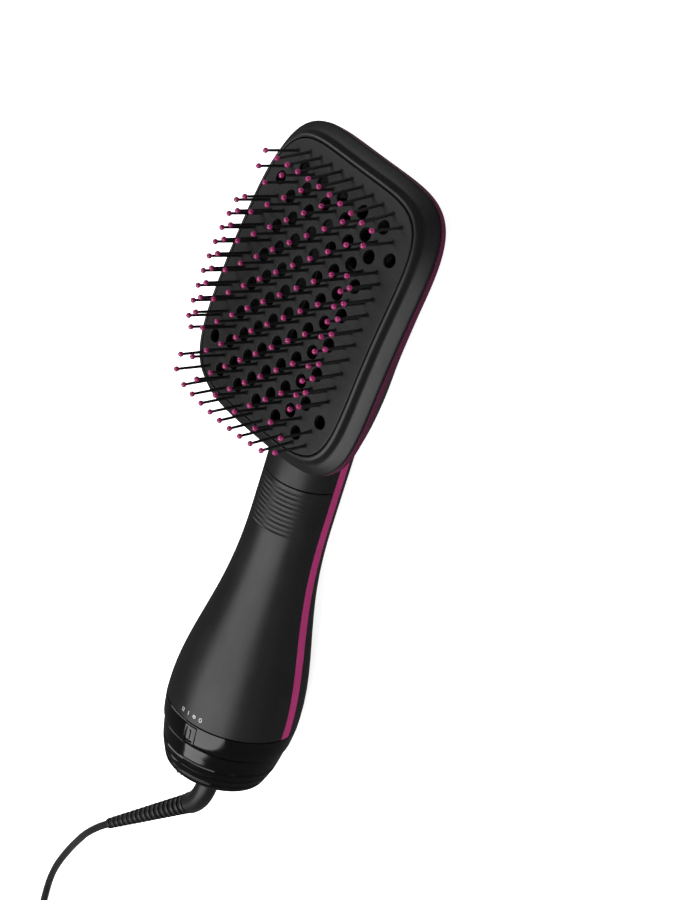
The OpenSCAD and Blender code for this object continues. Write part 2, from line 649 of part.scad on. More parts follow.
module inlet_screen() color(metal) lay() difference() {
    pipe(exit_r + 3, sleeve_r - sleeve_wall - fit_gap, cap_base_x, cap_base_x + screen_t);
    for (r = [11.6, 15.4]) for (i = [0 : slot_count - 1]) rotate([360 * (i + 0.5) / slot_count, 0, 0])
        translate([cap_base_x - cut, 0, r]) rotate([0, 90, 0])
            cylinder(d = 2.4, h = screen_t + 2 * cut, $fn = 24);
    at_cap_screws() cylinder(r = 1.2, h = 10, center = true, $fn = 24);
}
module cap_screws() color(metal) lay() at_cap_screws() {
    translate([0, 0, -1.2]) cylinder(r = 2.2, h = 1.2, $fn = 32);
    cylinder(r = 1.1, h = cap_wall + screen_t + 1, $fn = 24);
}

// Strain relief: a stub through the end cap, an elbow and a ribbed taper
elbow_end = [-182, 8.5, 35.6];
relief_end = [-225, 54.6, 40.8];
relief_dir = unit(relief_end - elbow_end);
elbow_start = laid([cap_end_x, 0, 0]);
elbow_dir = turned([-1, 0, 0]);
elbow_reach = 18;
elbow_steps = 6;
function bezier(a, b, c, d, t) = a * pow(1 - t, 3) + 3 * b * t * pow(1 - t, 2)
    + 3 * c * t * t * (1 - t) + d * pow(t, 3);
elbow_path = [for (i = [0 : elbow_steps]) bezier(elbow_start + 2 * elbow_dir,
    elbow_start + elbow_reach * elbow_dir, elbow_end - elbow_reach * relief_dir / 3,
    elbow_end, i / elbow_steps)];
rib_path = [for (i = [1 : 2 * relief_ribs]) elbow_end + (relief_end - elbow_end) * i / (2 * relief_ribs)];
rib_radii = [for (i = [1 : 2 * relief_ribs]) let (t = i / (2 * relief_ribs))
    (relief_d / 2 - 1) * (1 - t) + (cord_d / 2 + 0.6) * t + (i % 2 == 0 ? 0.35 : -0.35)];
module strain_relief() color(black) {
    lay() {
        disc(exit_r + 1.6, cap_base_x, cap_base_x + 2);
        disc(exit_r - fit_gap / 2, cap_end_x - 2, cap_base_x + cut);
    }
    skin(tube(concat(elbow_path, rib_path), concat(even(elbow_path, relief_d / 2), rib_radii), 8));
}
clamp_len = 5;
wire_gap = 2.2;
module cord_clamp() color("#4a4a4d") lay() difference() {
    translate([cap_base_x + 2, -8, -3.5]) cube([clamp_len, 16, 7]);
    disc(wire_gap + fit_gap, cap_base_x, cap_base_x + 3 * clamp_len);
}
module lead_wires() color("#5d3a2a") lay() for (s = [-1, 1])
    skin(tube([[cap_base_x + 2, s * 1.1, 0], [cap_base_x + 3 + clamp_len, s * 1.1, 0],
        [cap_base_x + 12, s * 3, -12], [cap_base_x + 18, s * 4, 2.4 - sleeve_r + sleeve_wall / 2],
        [handle_end_x + cut, s * 4, 2.4 - sleeve_r + sleeve_wall / 2]], [1, 1, 1, 1, 1], 8));

// Mains lead, from the strain relief to the coil
lead_route = [relief_end, [-229.8, 59.6, 40.9], [-235.4, 64.8, 40.2], [-242.6, 71.2, 38.2],
    [-250.6, 78, 35.2], [-260.4, 86, 30.6], [-271, 94.9, 25.4], [-283, 104.2, 20],
    [-294, 112.4, 15.4], [-305, 119.8, 11.4], [-315, 125.6, 8], [-325, 130.4, 5],
    [-335, 133.6, 2.8], [-345, 135, 1.9], [-352, 135, 1.9], [-360, 135, 2.3], [-364, 135, 2.6],
    [-368, 135, 2.6]];
coil_layers = 4;
coil_turns = 11;
coil_mid_r = 6 * cord_d;
coil_step = 1.25 * cord_d;
tie_t = 0.8;
leg_turns = (coil_turns - (coil_layers - 1) / 2) / coil_layers;
coil_out_r = coil_mid_r + leg_turns * coil_step / 2;
coil_start = lead_route[len(lead_route) - 1];
coil_centre = coil_start - [cord_d, coil_out_r, 0];
coil_rings = 24;
// The turns spiral in and out and climb a layer in the half turn where they reverse
function coil_at(s) = let (leg = min(coil_layers - 1, floor(s / (leg_turns + 0.5))),
        f = s - leg * (leg_turns + 0.5), go = min(1, f / leg_turns),
        in = leg % 2 == 0 ? go : 1 - go, r = coil_out_r - in * leg_turns * coil_step,
        z = coil_step * (leg + max(0, 2 * (f - leg_turns))))
    coil_centre + [r * cos(90 + 360 * s), r * sin(90 + 360 * s), z];
coil_curve = [for (i = [0 : coil_turns * coil_rings]) coil_at(i / coil_rings)];
coil_end = coil_curve[len(coil_curve) - 1] - [cord_d, 0, 0];
coil_path = concat([coil_start], coil_curve, [coil_end]);
coil_gap = min([for (i = [0 : len(coil_curve) - 1])
    for (j = [i + coil_rings / 2 : len(coil_curve) - 1]) norm(coil_curve[i] - coil_curve[j])]) - cord_d;
coil_length = coil_rings * norm(coil_curve[1] - coil_curve[0]);
echo(str("least gap between the coil's turns: ", coil_gap, " mm"));
module mains_lead() color(black) skin(tube(lead_route, even(lead_route, cord_d / 2), 8));
module lead_coil() color(black) skin(tube(coil_path, even(coil_path, cord_d / 2), 6));
tail_route = [coil_end, [-380, 134.8, 16], [-388, 133.2, 15.6], [-396, 129, 15], [-403, 122.6, 14.2],
    [-408, 114.6, 13.4], [-410.4, 106, 13], [-411, 100, 13], [-411, 96, 13]];
module lead_tail() color(black) skin(tube(tail_route, even(tail_route, cord_d / 2), 8));

// A flat tie round one side of the coil
tie_w = 6;
tie_angle = 215;
tie_gap = 0.5;
module coil_tie() color("#202022") translate([coil_centre[0], coil_centre[1], 0]) rotate(tie_angle)
    translate([coil_mid_r, 0, 0]) difference() {
        linear_extrude(coil_centre[2] + coil_step * (coil_layers - 1) + cord_d / 2 + tie_gap + tie_t)
            square([leg_turns * coil_step + cord_d + 2 * (tie_gap + tie_t), tie_w], center = true);
        translate([0, 0, tie_t])
            linear_extrude(coil_centre[2] + coil_step * (coil_layers - 1) + cord_d / 2 + tie_gap - tie_t)
            square([leg_turns * coil_step + cord_d + 2 * tie_gap, tie_w + 2 * cut], center = true);
    }

// Plug with two round pins, lying beside the coil
plug_at = tail_route[len(tail_route) - 1];
plug_len = 38;
plug_neck_r = 4.5;
module plug_form(y, a, b) translate([plug_at[0], plug_at[1] - y, plug_h / 2]) rotate([90, 0, 0])
    linear_extrude(cut / 2) polygon(squircle(a, b, 2.6));
module plug_body() color(black) hull() {
    plug_form(0, plug_neck_r, plug_neck_r);
    plug_form(9, plug_neck_r + 3, plug_neck_r + 2);
    plug_form(15, plug_w / 2 - 2, plug_h / 2 - 2);
    plug_form(20, plug_w / 2, plug_h / 2);
    plug_form(plug_len - cut / 2, plug_w / 2, plug_h / 2);
}
module plug_pins() color(metal) for (s = [-1, 1])
    translate([plug_at[0] + s * plug_pin_gap / 2, plug_at[1] - plug_len, plug_h / 2]) rotate([90, 0, 0]) {
        cylinder(d = plug_pin_d, h = plug_pin_len - cut, $fn = 48);
        translate([0, 0, plug_pin_len - cut])
            cylinder(d1 = plug_pin_d, d2 = plug_pin_d - 2 * cut, h = cut, $fn = 48);
    }

head_front_frame();
bristle_plate();
pin_tips();
head_trim();
head_rear_cover();
air_baffle();
head_screws();
handle_front_shell();
handle_rear_shell();
handle_screw();
side_trim_left();
side_trim_right();
mica_tube();
heater_board_a();
heater_board_b();
heating_wire();
thermostat();
thermal_fuse();
motor_case();
rectifier_board();
motor_mount();
motor_damper();
motor_shaft();
fan();
switch_base();
contact_carrier();
selector_ring();
end_cap();
inlet_screen();
cap_screws();
strain_relief();
cord_clamp();
lead_wires();
mains_lead();
lead_coil();
lead_tail();
coil_tie();
plug_body();
plug_pins();
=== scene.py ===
import bpy
import bmesh
import json
import math
from mathutils import Matrix, Vector, geometry
from mathutils.bvhtree import BVHTree

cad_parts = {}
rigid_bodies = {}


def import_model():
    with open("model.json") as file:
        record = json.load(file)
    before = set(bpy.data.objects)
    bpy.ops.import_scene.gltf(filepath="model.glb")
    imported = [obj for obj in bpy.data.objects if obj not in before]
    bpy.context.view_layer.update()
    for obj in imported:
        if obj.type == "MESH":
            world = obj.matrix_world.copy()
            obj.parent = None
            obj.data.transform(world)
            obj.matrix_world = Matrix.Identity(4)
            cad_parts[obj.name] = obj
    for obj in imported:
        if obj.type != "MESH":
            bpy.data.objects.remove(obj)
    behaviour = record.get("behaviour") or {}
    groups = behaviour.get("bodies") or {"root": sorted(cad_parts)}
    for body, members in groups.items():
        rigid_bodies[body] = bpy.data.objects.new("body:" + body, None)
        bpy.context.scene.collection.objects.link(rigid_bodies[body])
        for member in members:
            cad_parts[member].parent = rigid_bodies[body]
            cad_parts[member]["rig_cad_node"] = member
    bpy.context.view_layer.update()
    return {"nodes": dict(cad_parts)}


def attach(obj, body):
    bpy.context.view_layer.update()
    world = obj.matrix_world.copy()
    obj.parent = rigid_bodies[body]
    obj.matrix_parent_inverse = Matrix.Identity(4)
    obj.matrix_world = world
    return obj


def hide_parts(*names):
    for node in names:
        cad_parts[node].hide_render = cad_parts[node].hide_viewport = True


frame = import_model()
nodes = frame["nodes"]
mm = 0.001  # sizes below are in millimetres and go into the meshes in metres
print("frame loaded,", len(nodes), "nodes")


# camera, at the photograph's viewing angle
cameraSettings = {
    "place": (750.86, -977.1, 959.76),
    "across": (0.20972, -0.5969, -0.77439),
    "down": (-0.85347, -0.4981, 0.15285),
    "forward": (-0.47698, 0.6289, -0.61393),
    "lens": 140.43,
    "sensor": 36,
}


def makeCamera(settings):
    data = bpy.data.cameras.new("camera")
    data.lens = settings["lens"]
    data.sensor_width = settings["sensor"]
    camera = bpy.data.objects.new("camera", data)
    bpy.context.scene.collection.objects.link(camera)
    columns = [Vector(settings["across"]), -Vector(settings["down"]), -Vector(settings["forward"])]
    turn = Matrix(columns).transposed().to_4x4()
    camera.matrix_world = Matrix.Translation(Vector(settings["place"]) * mm) @ turn
    bpy.context.scene.camera = camera


makeCamera(cameraSettings)
print("camera made")


# the frames of the handle and of the head, which leans a little on it
restSettings = {
    "tilt": 4.68,  # degrees that the brush leans as it lies on its back
    "shift": (91.5075, 0, 14.0995),
    "headTilt": 8.4,
    "plateRise": 37.3,
    "floorDrop": 14.1467,
}


def leaned(x, z, degrees):
    c, s = math.cos(math.radians(degrees)), math.sin(math.radians(degrees))
    return x * c + z * s, z * c - x * s


# handle frame to metres in the shared frame
def laid(x, y, z):
    x, z = leaned(x, z, restSettings["tilt"])
    shift = restSettings["shift"]
    return Vector((x + shift[0], y + shift[1], z + shift[2])) * mm


def onHead(u, v, w):
    x, z = leaned(u, w, restSettings["headTilt"])
    return x, v, z + restSettings["plateRise"]


def headPoint(u, v, w):
    return laid(*onHead(u, v, w))


def floorLevel(x):
    return x * math.tan(math.radians(restSettings["tilt"])) - restSettings["floorDrop"]


# mesh helpers
def addPiece(name, points, faces, sharp=35):
    mesh = bpy.data.meshes.new(name)
    mesh.from_pydata([tuple(p) for p in points], [], faces)
    mesh.validate()
    made = bmesh.new()
    made.from_mesh(mesh)
    bmesh.ops.recalc_face_normals(made, faces=made.faces)
    made.to_mesh(mesh)
    made.free()
    mesh.polygons.foreach_set("use_smooth", [True] * len(mesh.polygons))
    mesh.set_sharp_from_angle(angle=math.radians(sharp))
    piece = bpy.data.objects.new(name, mesh)
    bpy.context.scene.collection.objects.link(piece)
    return piece


# points and faces of a skin through rings that have as many points each
def loft(rings, closed=False, caps=(True, True)):
    count = len(rings[0])
    points = [p for ring in rings for p in ring]
    faces = []
    for k in range(len(rings) if closed else len(rings) - 1):
        low, high = k * count, (k + 1) % len(rings) * count
        for i in range(count):
            j = (i + 1) % count
            faces.append((low + i, low + j, high + j, high + i))
    if not closed and caps[0]:
        faces.append(tuple(reversed(range(count))))
    if not closed and caps[1]:
        faces.append(tuple((len(rings) - 1) * count + i for i in range(count)))
    return points, faces


# several (points, faces) pairs as one
def gather(parts):
    points, faces = [], []
    for some, around in parts:
        base = len(points)
        points += some
        faces += [tuple(i + base for i in face) for face in around]
    return points, faces


# a Catmull-Rom line through the points, which are tuples of any length
def smoothLine(points, steps):
    line = []
    for i in range(len(points) - 1):
        a, b = points[max(i - 1, 0)], points[i]
        c, d = points[i + 1], points[min(i + 2, len(points) - 1)]
        for k in range(steps):
            t = k / steps
            line.append(tuple(0.5 * (2 * q + (r - p) * t + (2 * p - 5 * q + 4 * r - s) * t * t
                                     + (3 * q - p - 3 * r + s) * t ** 3)
                              for p, q, r, s in zip(a, b, c, d)))
    line.append(tuple(points[-1]))
    return line


def clamped(value):
    return min(1, max(0, value))


def roundTurns(count):
    return [2 * math.pi * k / count for k in range(count)]


def tubeRings(path, radii, sides):
    rings = []
    for i, p in enumerate(path):
        along = (path[min(i + 1, len(path) - 1)] - path[max(i - 1, 0)]).normalized()
        side = along.cross(Vector((0, 0, 1))).normalized()
        down = along.cross(side)
        rings.append([p + radii[i] * (math.cos(a) * side + math.sin(a) * down) for a in roundTurns(sides)])
    return rings


# rings of a form turned about the handle's axis; profile is (radius, station)
def turnedRings(profile, sides):
    return [[laid(x, r * math.cos(a), r * math.sin(a)) for a in roundTurns(sides)] for r, x in profile]


def addCurve(name, points, diameter):
    data = bpy.data.curves.new(name, "CURVE")
    data.dimensions = "3D"
    data.bevel_depth = 1  # metres; each point's radius gives the real thickness
    data.bevel_resolution = 4
    data.use_fill_caps = True
    data.resolution_u = 3
    spline = data.splines.new("NURBS")
    spline.points.add(len(points) - 1)
    for i, p in enumerate(points):
        spline.points[i].co = (p[0] * mm, p[1] * mm, p[2] * mm, 1)
        spline.points[i].radius = diameter / 2 * mm
    spline.order_u = 4
    spline.use_endpoint_u = True
    piece = bpy.data.objects.new(name, data)
    bpy.context.scene.collection.objects.link(piece)
    return piece


# mains lead: free stretch, coil and tail in one piece
leadSettings = {
    "diameter": 3.6,
    "coilMiddle": 21.6,
    "coilStep": 4.5,
    "coilLayers": 4,
    "coilTurns": 11,
    "pointsPerTurn": 24,
    "route": [(-225, 54.6, 40.8), (-229.8, 59.6, 40.9), (-235.4, 64.8, 40.2), (-242.6, 71.2, 38.2),
              (-250.6, 78, 35.2), (-260.4, 86, 30.6), (-271, 94.9, 25.4), (-283, 104.2, 20),
              (-294, 112.4, 15.4), (-305, 119.8, 11.4), (-315, 125.6, 8), (-325, 130.4, 5),
              (-335, 133.6, 2.8), (-345, 135, 1.9), (-352, 135, 1.9), (-360, 135, 2.3),
              (-364, 135, 2.6), (-368, 135, 2.6)],
    "tail": [(-380, 134.8, 16), (-388, 133.2, 15.6), (-396, 129, 15), (-403, 122.6, 14.2),
             (-408, 114.6, 13.4), (-410.4, 106, 13), (-411, 100, 13), (-411, 96, 13)],
}


# the coil's turns spiral in and out and climb a layer in the half turn where they reverse
def coilLine(settings):
    layers, turns, step = settings["coilLayers"], settings["coilTurns"], settings["coilStep"]
    legTurns = (turns - (layers - 1) / 2) / layers
    outer = settings["coilMiddle"] + legTurns * step / 2
    start = settings["route"][-1]
    centre = (start[0] - settings["diameter"], start[1] - outer, start[2])
    line = []
    for i in range(turns * settings["pointsPerTurn"] + 1):
        s = i / settings["pointsPerTurn"]
        leg = min(layers - 1, math.floor(s / (legTurns + 0.5)))
        f = s - leg * (legTurns + 0.5)
        go = min(1, f / legTurns)
        inward = go if leg % 2 == 0 else 1 - go
        r = outer - inward * legTurns * step
        angle = math.radians(90 + 360 * s)
        line.append((centre[0] + r * math.cos(angle), centre[1] + r * math.sin(angle),
                     centre[2] + step * (leg + max(0, 2 * (f - legTurns)))))
    return line, centre, legTurns


coilPoints, coilCentre, legTurns = coilLine(leadSettings)
coilEnd = (coilPoints[-1][0] - leadSettings["diameter"], coilPoints[-1][1], coilPoints[-1][2])
leadLine = leadSettings["route"] + coilPoints + [coilEnd] + leadSettings["tail"]
mainsLead = addCurve("mainsLead", leadLine, leadSettings["diameter"])
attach(mainsLead, "brush")
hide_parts("mains_lead", "lead_coil", "lead_tail")
print("mains lead made,", len(leadLine), "points")


# plug: body with a grip, and the two CAD pins
plugSettings = {
    "place": (-411, 96, 13),
    # distance along, half width, half height
    "sections": [(0, 4.5, 4.5), (3, 4.9, 4.8), (9, 7.5, 6.5), (15, 16, 11), (20, 18, 13), (26, 18, 13)]
                + [(26 + 0.65 * k, 18, 13) for k in range(1, 17)],
    "length": 38,
    "rounding": [(0.6, 0.12), (0.2, 0.45), (0, 1)],  # back from the end, and inward
    "square": 2.6,
    "sides": 96,
    "gripDepth": 0.5,
    "gripStep": 2.6,
    "gripFrom": 22,
    "gripTo": 35,
}


def squircle(a, b, power, turns):
    points = []
    for t in turns:
        c, s = math.cos(t), math.sin(t)
        points.append((a * math.copysign(abs(c) ** (2 / power), c),
                       b * math.copysign(abs(s) ** (2 / power), s)))
    return points


def makePlug(settings):
    turns = [2 * math.pi * (k + 0.5) / settings["sides"] for k in range(settings["sides"])]
    x, y, z = settings["place"]
    a, b = settings["sections"][-1][1:]
    sections = smoothLine(settings["sections"], 6)
    sections += [(settings["length"] - back, a - less, b - less) for back, less in settings["rounding"]]
    rings = []
    for along, a, b in sections:
        grip = 0
        if settings["gripFrom"] < along < settings["gripTo"]:
            wave = math.cos(2 * math.pi * (along - settings["gripFrom"]) / settings["gripStep"])
            grip = settings["gripDepth"] * max(0, wave)
        ring = []
        for u, v in squircle(a, b, settings["square"], turns):
            side = clamped((abs(u) / a - 0.8) * 8)  # the grip is on the two narrow sides
            ring.append(Vector((x + u * (1 - grip * side / a), y - along, z + v)) * mm)
        rings.append(ring)
    return addPiece("plugBody", *loft(rings))


plugBody = makePlug(plugSettings)
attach(plugBody, "brush")
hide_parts("plug_body")


# tie round the coil
tieSettings = {"angle": 215, "width": 6, "thick": 0.8, "gap": 0.5, "corner": 2.2, "soft": 0.2}


def makeTie(settings):
    lead, r, thick, soft = leadSettings, settings["corner"], settings["thick"], settings["soft"]
    wide, room = settings["width"] / 2, lead["diameter"] / 2 + settings["gap"] + thick
    half = legTurns * lead["coilStep"] / 2 + room
    top = coilCentre[2] + lead["coilStep"] * (lead["coilLayers"] - 1) + room
    turn = math.radians(settings["angle"])
    out = Vector((math.cos(turn), math.sin(turn), 0))
    along = Vector((-math.sin(turn), math.cos(turn), 0))
    base = Vector((coilCentre[0], coilCentre[1], 0)) + out * lead["coilMiddle"]
    loop = []
    middles = ((half - r, r, -90), (half - r, top - r, 0), (r - half, top - r, 90), (r - half, r, 180))
    for cx, cz, start in middles:
        for k in range(7):
            a = math.radians(start + 15 * k)
            loop.append((cx, cz, math.cos(a), math.sin(a)))
    rings = []
    for y, deep in ((-wide, soft), (-wide + soft, 0), (wide - soft, 0), (wide, soft), (wide, thick - soft),
                    (wide - soft, thick), (soft - wide, thick), (-wide, thick - soft)):
        rings.append([(base + out * (cx + (r - deep) * nx) + along * y
                       + Vector((0, 0, cz + (r - deep) * nz))) * mm for cx, cz, nx, nz in loop])
    return addPiece("coilTie", *loft(rings, closed=True))


coilTie = makeTie(tieSettings)
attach(coilTie, "brush")
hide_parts("coil_tie")
print("plug and tie made")


# strain relief: stub, smooth elbow and ribbed taper
reliefSettings = {
    "start": (-154.67, 0, 34.25),
    "startWay": (-0.99667, 0, 0.08159),
    "elbowEnd": (-182, 8.5, 35.6),
    "end": (-225, 54.6, 40.8),
    "reach": 18,
    "elbowRadius": 5.1,
    "endRadius": 2.4,
    "ribs": 17,
    "ribOut": 0.35,
    "grooveIn": 1.05,
    # one rib and the narrower groove before it: share of its length, level
    "rib": [(0.08, -0.6), (0.14, -1), (0.36, -1), (0.42, -0.6), (0.45, 0.2), (0.52, 0.85), (0.62, 1), (0.82, 1),
            (0.92, 0.85), (0.99, 0.2)],
    "capEnd": -247,
    "capWall": 2.5,
    # the stub through the end cap: radius, station from the cap's end
    "stub": [(5.1, -2), (5.3, -1.6), (5.3, 2.5), (7, 2.5), (7, 4.5), (2.4, 4.5)],
    "sides": 32,
    "stubSides": 48,
}


def makeRelief(settings):
    start, way = Vector(settings["start"]), Vector(settings["startWay"])
    bend, end = Vector(settings["elbowEnd"]), Vector(settings["end"])
    out = (end - bend).normalized()
    a, b = start + 2 * way, start + settings["reach"] * way
    c, d = bend - out * settings["reach"] / 3, bend
    path, radii = [], []
    for i in range(25):
        t = i / 24
        path.append(a * (1 - t) ** 3 + 3 * b * t * (1 - t) ** 2 + 3 * c * t * t * (1 - t) + d * t ** 3)
        radii.append(settings["elbowRadius"])
    ribs, foot = settings["ribs"], settings["elbowRadius"] - 0.6
    for i in range(ribs):
        for share, level in settings["rib"]:
            t = (i + share) / ribs
            height = settings["ribOut"] if level > 0 else settings["grooveIn"]
            path.append(bend + (end - bend) * t)
            radii.append(foot * (1 - t) + settings["endRadius"] * t + height * level * (0.6 + 0.4 * (1 - t)))
    path += [end, end]
    radii += [settings["endRadius"] - 0.2, leadSettings["diameter"] / 2]
    tube = loft(tubeRings([p * mm for p in path], [r * mm for r in radii], settings["sides"]))
    stub = [(r, settings["capEnd"] + x) for r, x in settings["stub"]]
    return addPiece("strainRelief", *gather([tube, loft(turnedRings(stub, settings["stubSides"]))]))


strainRelief = makeRelief(reliefSettings)
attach(strainRelief, "brush")
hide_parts("strain_relief")

wireSettings = {
    "diameter": 2,
    # from the end cap's wall: along, to each side, toward the pins
    "line": [(2, 1.1, 0), (5, 1.1, 0), (8, 1.1, -0.2), (10, 2, -6), (12, 3, -12), (15, 3.8, -16.775),
             (18, 4, -19.175), (26, 4, -19.175), (31.5, 4, -19.175)],
}


def makeWires(settings):
    made, base = [], reliefSettings["capEnd"] + reliefSettings["capWall"]
    for s, side in ((-1, "Right"), (1, "Left")):
        points = [laid(base + x, s * y, z) / mm for x, y, z in settings["line"]]
        made.append(addCurve("leadWire" + side, points, settings["diameter"]))
    return made


leadWires = makeWires(wireSettings)
for wire in leadWires:
    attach(wire, "brush")
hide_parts("lead_wires")
print("strain relief and inner wires made")


# head: outline, frame round the plate, plate, pins, trim and back
headSettings = {
    "halfLength": 60.4,
    "halfWidth": 47.7,
    "domeRadius": 480,
    "square": 5.1,  # how square the head's outline is
    "lowSquare": 4.6,  # and the outer edge of its flank
    "frameWidth": 7.8,
    "valleyDrop": 3.3,
    "lipDrop": 6.5,
    "wallDepth": 7.1,
    "wall": 2.4,
    "ledge": -9,
    "ledgeThick": 2,
    "ledgeIn": -3,
    "ledgeFoot": 0.83,
    "ledgeRound": 0.2,
    "plateGap": 0.45,
    "trimLow": 11.4,
    "outlinePoints": 288,
    # the rounded bead, the valley and the sloped flank: outward, down under the dome
    "frameLine": [(0.45, 0.6), (0.45, 0.3), (0.62, 0.07), (0.95, 0), (1.35, 0.03), (1.78, 0.22), (2.12, 0.6),
                  (2.36, 1.15), (2.52, 1.8), (2.66, 2.4), (2.84, 2.85), (3.15, 3.22), (3.6, 3.52), (4.2, 3.88),
                  (5, 4.4), (5.9, 5.03), (6.7, 5.62), (7.25, 6.02), (7.55, 6.28), (7.72, 6.52), (7.8, 6.8),
                  (7.74, 7.02), (7.6, 7.1)],
    "trimLine": [(6.85, 11.4), (7.12, 11.28), (7.25, 10.9), (7.5, 9.8), (7.72, 8.9), (7.8, 8.2), (7.68, 7.82),
                 (7.4, 7.7), (6.4, 7.7), (6.4, 7.15), (5.4, 7.15), (4, 11.4)],
    "plateEdge": -0.5,  # where the plate's domed top ends and its rounded skirt begins
    "skirtLine": [(-0.5, 0), (-0.25, 0.06), (-0.06, 0.25), (0, 0.55), (0, 2)],
    "skirtLift": 0.05,  # over the ledge
}


def dome(u, v):
    return math.sqrt(headSettings["domeRadius"] ** 2 - u * u - v * v) - headSettings["domeRadius"]


# angles that space the points of the head's outline evenly
def evenTurns(settings):
    dense, count = roundTurns(7200) + [2 * math.pi], settings["outlinePoints"]
    line = squircle(settings["halfLength"] + 2, settings["halfWidth"] + 2, settings["square"], dense)
    run = [0]
    for p, q in zip(line, line[1:]):
        run.append(run[-1] + math.dist(p, q))
    turns, at = [], 0
    for k in range(count):
        goal = run[-1] * (k + 0.5) / count
        while run[at + 1] < goal:
            at += 1
        share = (goal - run[at]) / (run[at + 1] - run[at])
        turns.append(dense[at] + share * (dense[at + 1] - dense[at]))
    return turns


headTurns = evenTurns(headSettings)


def outline(grow, power=headSettings["square"]):
    return squircle(headSettings["halfLength"] + grow, headSettings["halfWidth"] + grow, power, headTurns)


# a ring round the head at a depth under the dome; the outline grows rounder down the flank
def rimRing(grow, drop):
    valley, square = headSettings["valleyDrop"], headSettings["square"]
    share = clamped((drop - valley) / (headSettings["lipDrop"] - valley))
    power = square + (headSettings["lowSquare"] - square) * share
    return [(u, v, dome(u, v) - drop) for u, v in outline(grow, power)]


def inSpace(ring):
    return [headPoint(*p) for p in ring]


def flatRing(grow, w):
    return [(u, v, w) for u, v in outline(grow)]


def makeFrame(settings):
    ledge, inner, foot = settings["ledge"], settings["ledgeIn"], settings["ledgeFoot"]
    under = ledge - settings["ledgeThick"]
    rings = [rimRing(*p) for p in settings["frameLine"]]
    rings += [rimRing(settings["frameWidth"] - settings["wall"], settings["wallDepth"]),
              flatRing(foot, under - settings["ledgeRound"]), flatRing(inner, under), flatRing(inner, ledge),
              flatRing(settings["plateGap"], ledge)]
    return addPiece("headFrame", *loft([inSpace(r) for r in rings], closed=True), sharp=50)


def makeTrim(settings):
    rings = [inSpace(rimRing(*p)) for p in settings["trimLine"]]
    return addPiece("headTrim", *loft(rings, closed=True), sharp=40)


headFrame = makeFrame(headSettings)
headTrim = makeTrim(headSettings)
for piece, node in ((headFrame, "head_front_frame"), (headTrim, "head_trim")):
    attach(piece, "brush")
    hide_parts(node)
print("head frame and trim made")


pinSettings = {
    "rows": 7,
    "columns": 4,
    "stepX": 7,
    "stepY": 6.92,
    "shift": -1.9,
    "fan": 0.106,  # degrees a millimetre
    "length": 17.2,
    "thick": 1.3,
    "tip": 2.5,
    "tipMargin": 4.8,
    "tipLean": -10,
    "tipSpread": 1.04,
    "heelMargin": 3.3,
    "heelLean": -7,
    "sideMargin": 7.3,
    "innerMargin": 11.7,
    "innerPins": 10,
    "rowCurve": 0.1,
    "cornerPins": [(9.2, 11.7), (16.4, 12.2)],
    "heelPins": [(7.3, 12.5), (14.4, 12.2)],
    # from the foot in the plate to the tip: radius as a share of the pin's, height
    "stemLine": [(1.75, -0.3), (1.6, 0.12), (1.25, 0.4), (1.1, 0.9), (1.04, 2), (1, 8)],
    "stemSides": 10,
    "tipRows": 9,
    "tipSides": 14,
}
holeSettings = {
    "radius": 3.1,
    "corners": [(37, 38.3), (-40, 38.3)],
    # rounded edge and wall: beyond the radius, depth
    "line": [(0.28, 0), (0.12, 0.05), (0.03, 0.16), (0, 0.35), (0, 2), (0.5, 2)],
    "sides": 28,
    # net of the top: columns and rows to each side, step, row distance as a share of the step
    "netHalf": (26, 24),
    "netStep": 2.6,
    "netRow": 0.87,
    "netRoom": 0.8,
    "netInset": 1.8,
}
bossSettings = {
    "columns": (-5, 5),
    "rows": (-3, 3),
    "line": [(3, -17.4), (2.8, -17.6), (1.4, -17.6), (1.25, -17.4), (1.25, -9)],  # radius, height
    "sides": 24,
}


def gridPlaces(settings, odd):
    rows, columns = settings["rows"], settings["columns"]
    return [(k * settings["stepX"] + settings["shift"], j * settings["stepY"])
            for k in range(-rows, rows + 1) for j in range(-columns, columns + 1) if (k + j) % 2 == odd]


# each pin's place on the plate and the degrees that it leans
def pinPlaces(settings):
    columns = range(-settings["columns"], settings["columns"] + 1)
    halfU, halfV, curve = headSettings["halfLength"], headSettings["halfWidth"], settings["rowCurve"]
    stepX, stepY, shift = settings["stepX"], settings["stepY"], settings["shift"]
    heelLean = settings["heelLean"]
    places = [(u, v, 0) for u, v in gridPlaces(settings, 0)]
    places += [(halfU - settings["tipMargin"] - curve * j * j, settings["tipSpread"] * j * stepY,
                settings["tipLean"]) for j in columns]
    places += [(settings["heelMargin"] - halfU + curve * j * j, j * stepY, heelLean) for j in columns]
    for s in (-1, 1):
        places += [(k * stepX + shift, s * (halfV - settings["sideMargin"] - curve * k * k), 0)
                   for k in columns]
        for i in range(settings["innerPins"]):
            k = i - (settings["innerPins"] - 1) / 2
            places.append((k * stepX + shift, s * (halfV - settings["innerMargin"] - curve * k * k / 2), 0))
        places += [(halfU - p[0], s * (halfV - p[1]), 0) for p in settings["cornerPins"]]
        places += [(p[0] - halfU, s * (halfV - p[1]), heelLean / 2) for p in settings["heelPins"]]
    return places


def holePlaces():
    return gridPlaces(pinSettings, 1) + [(u, s * v) for u, v in holeSettings["corners"] for s in (-1, 1)]


# where the four screws from the back meet the plate
def bossPlaces():
    pins = pinSettings
    return [(k * pins["stepX"] + pins["shift"], j * pins["stepY"])
            for k in bossSettings["columns"] for j in bossSettings["rows"]]


def pinWay(place):
    lean = math.radians(place[2] - restSettings["headTilt"])
    fan = math.radians(-pinSettings["fan"] * place[1])
    return Vector((math.cos(fan) * math.sin(lean), -math.sin(fan), math.cos(fan) * math.cos(lean)))


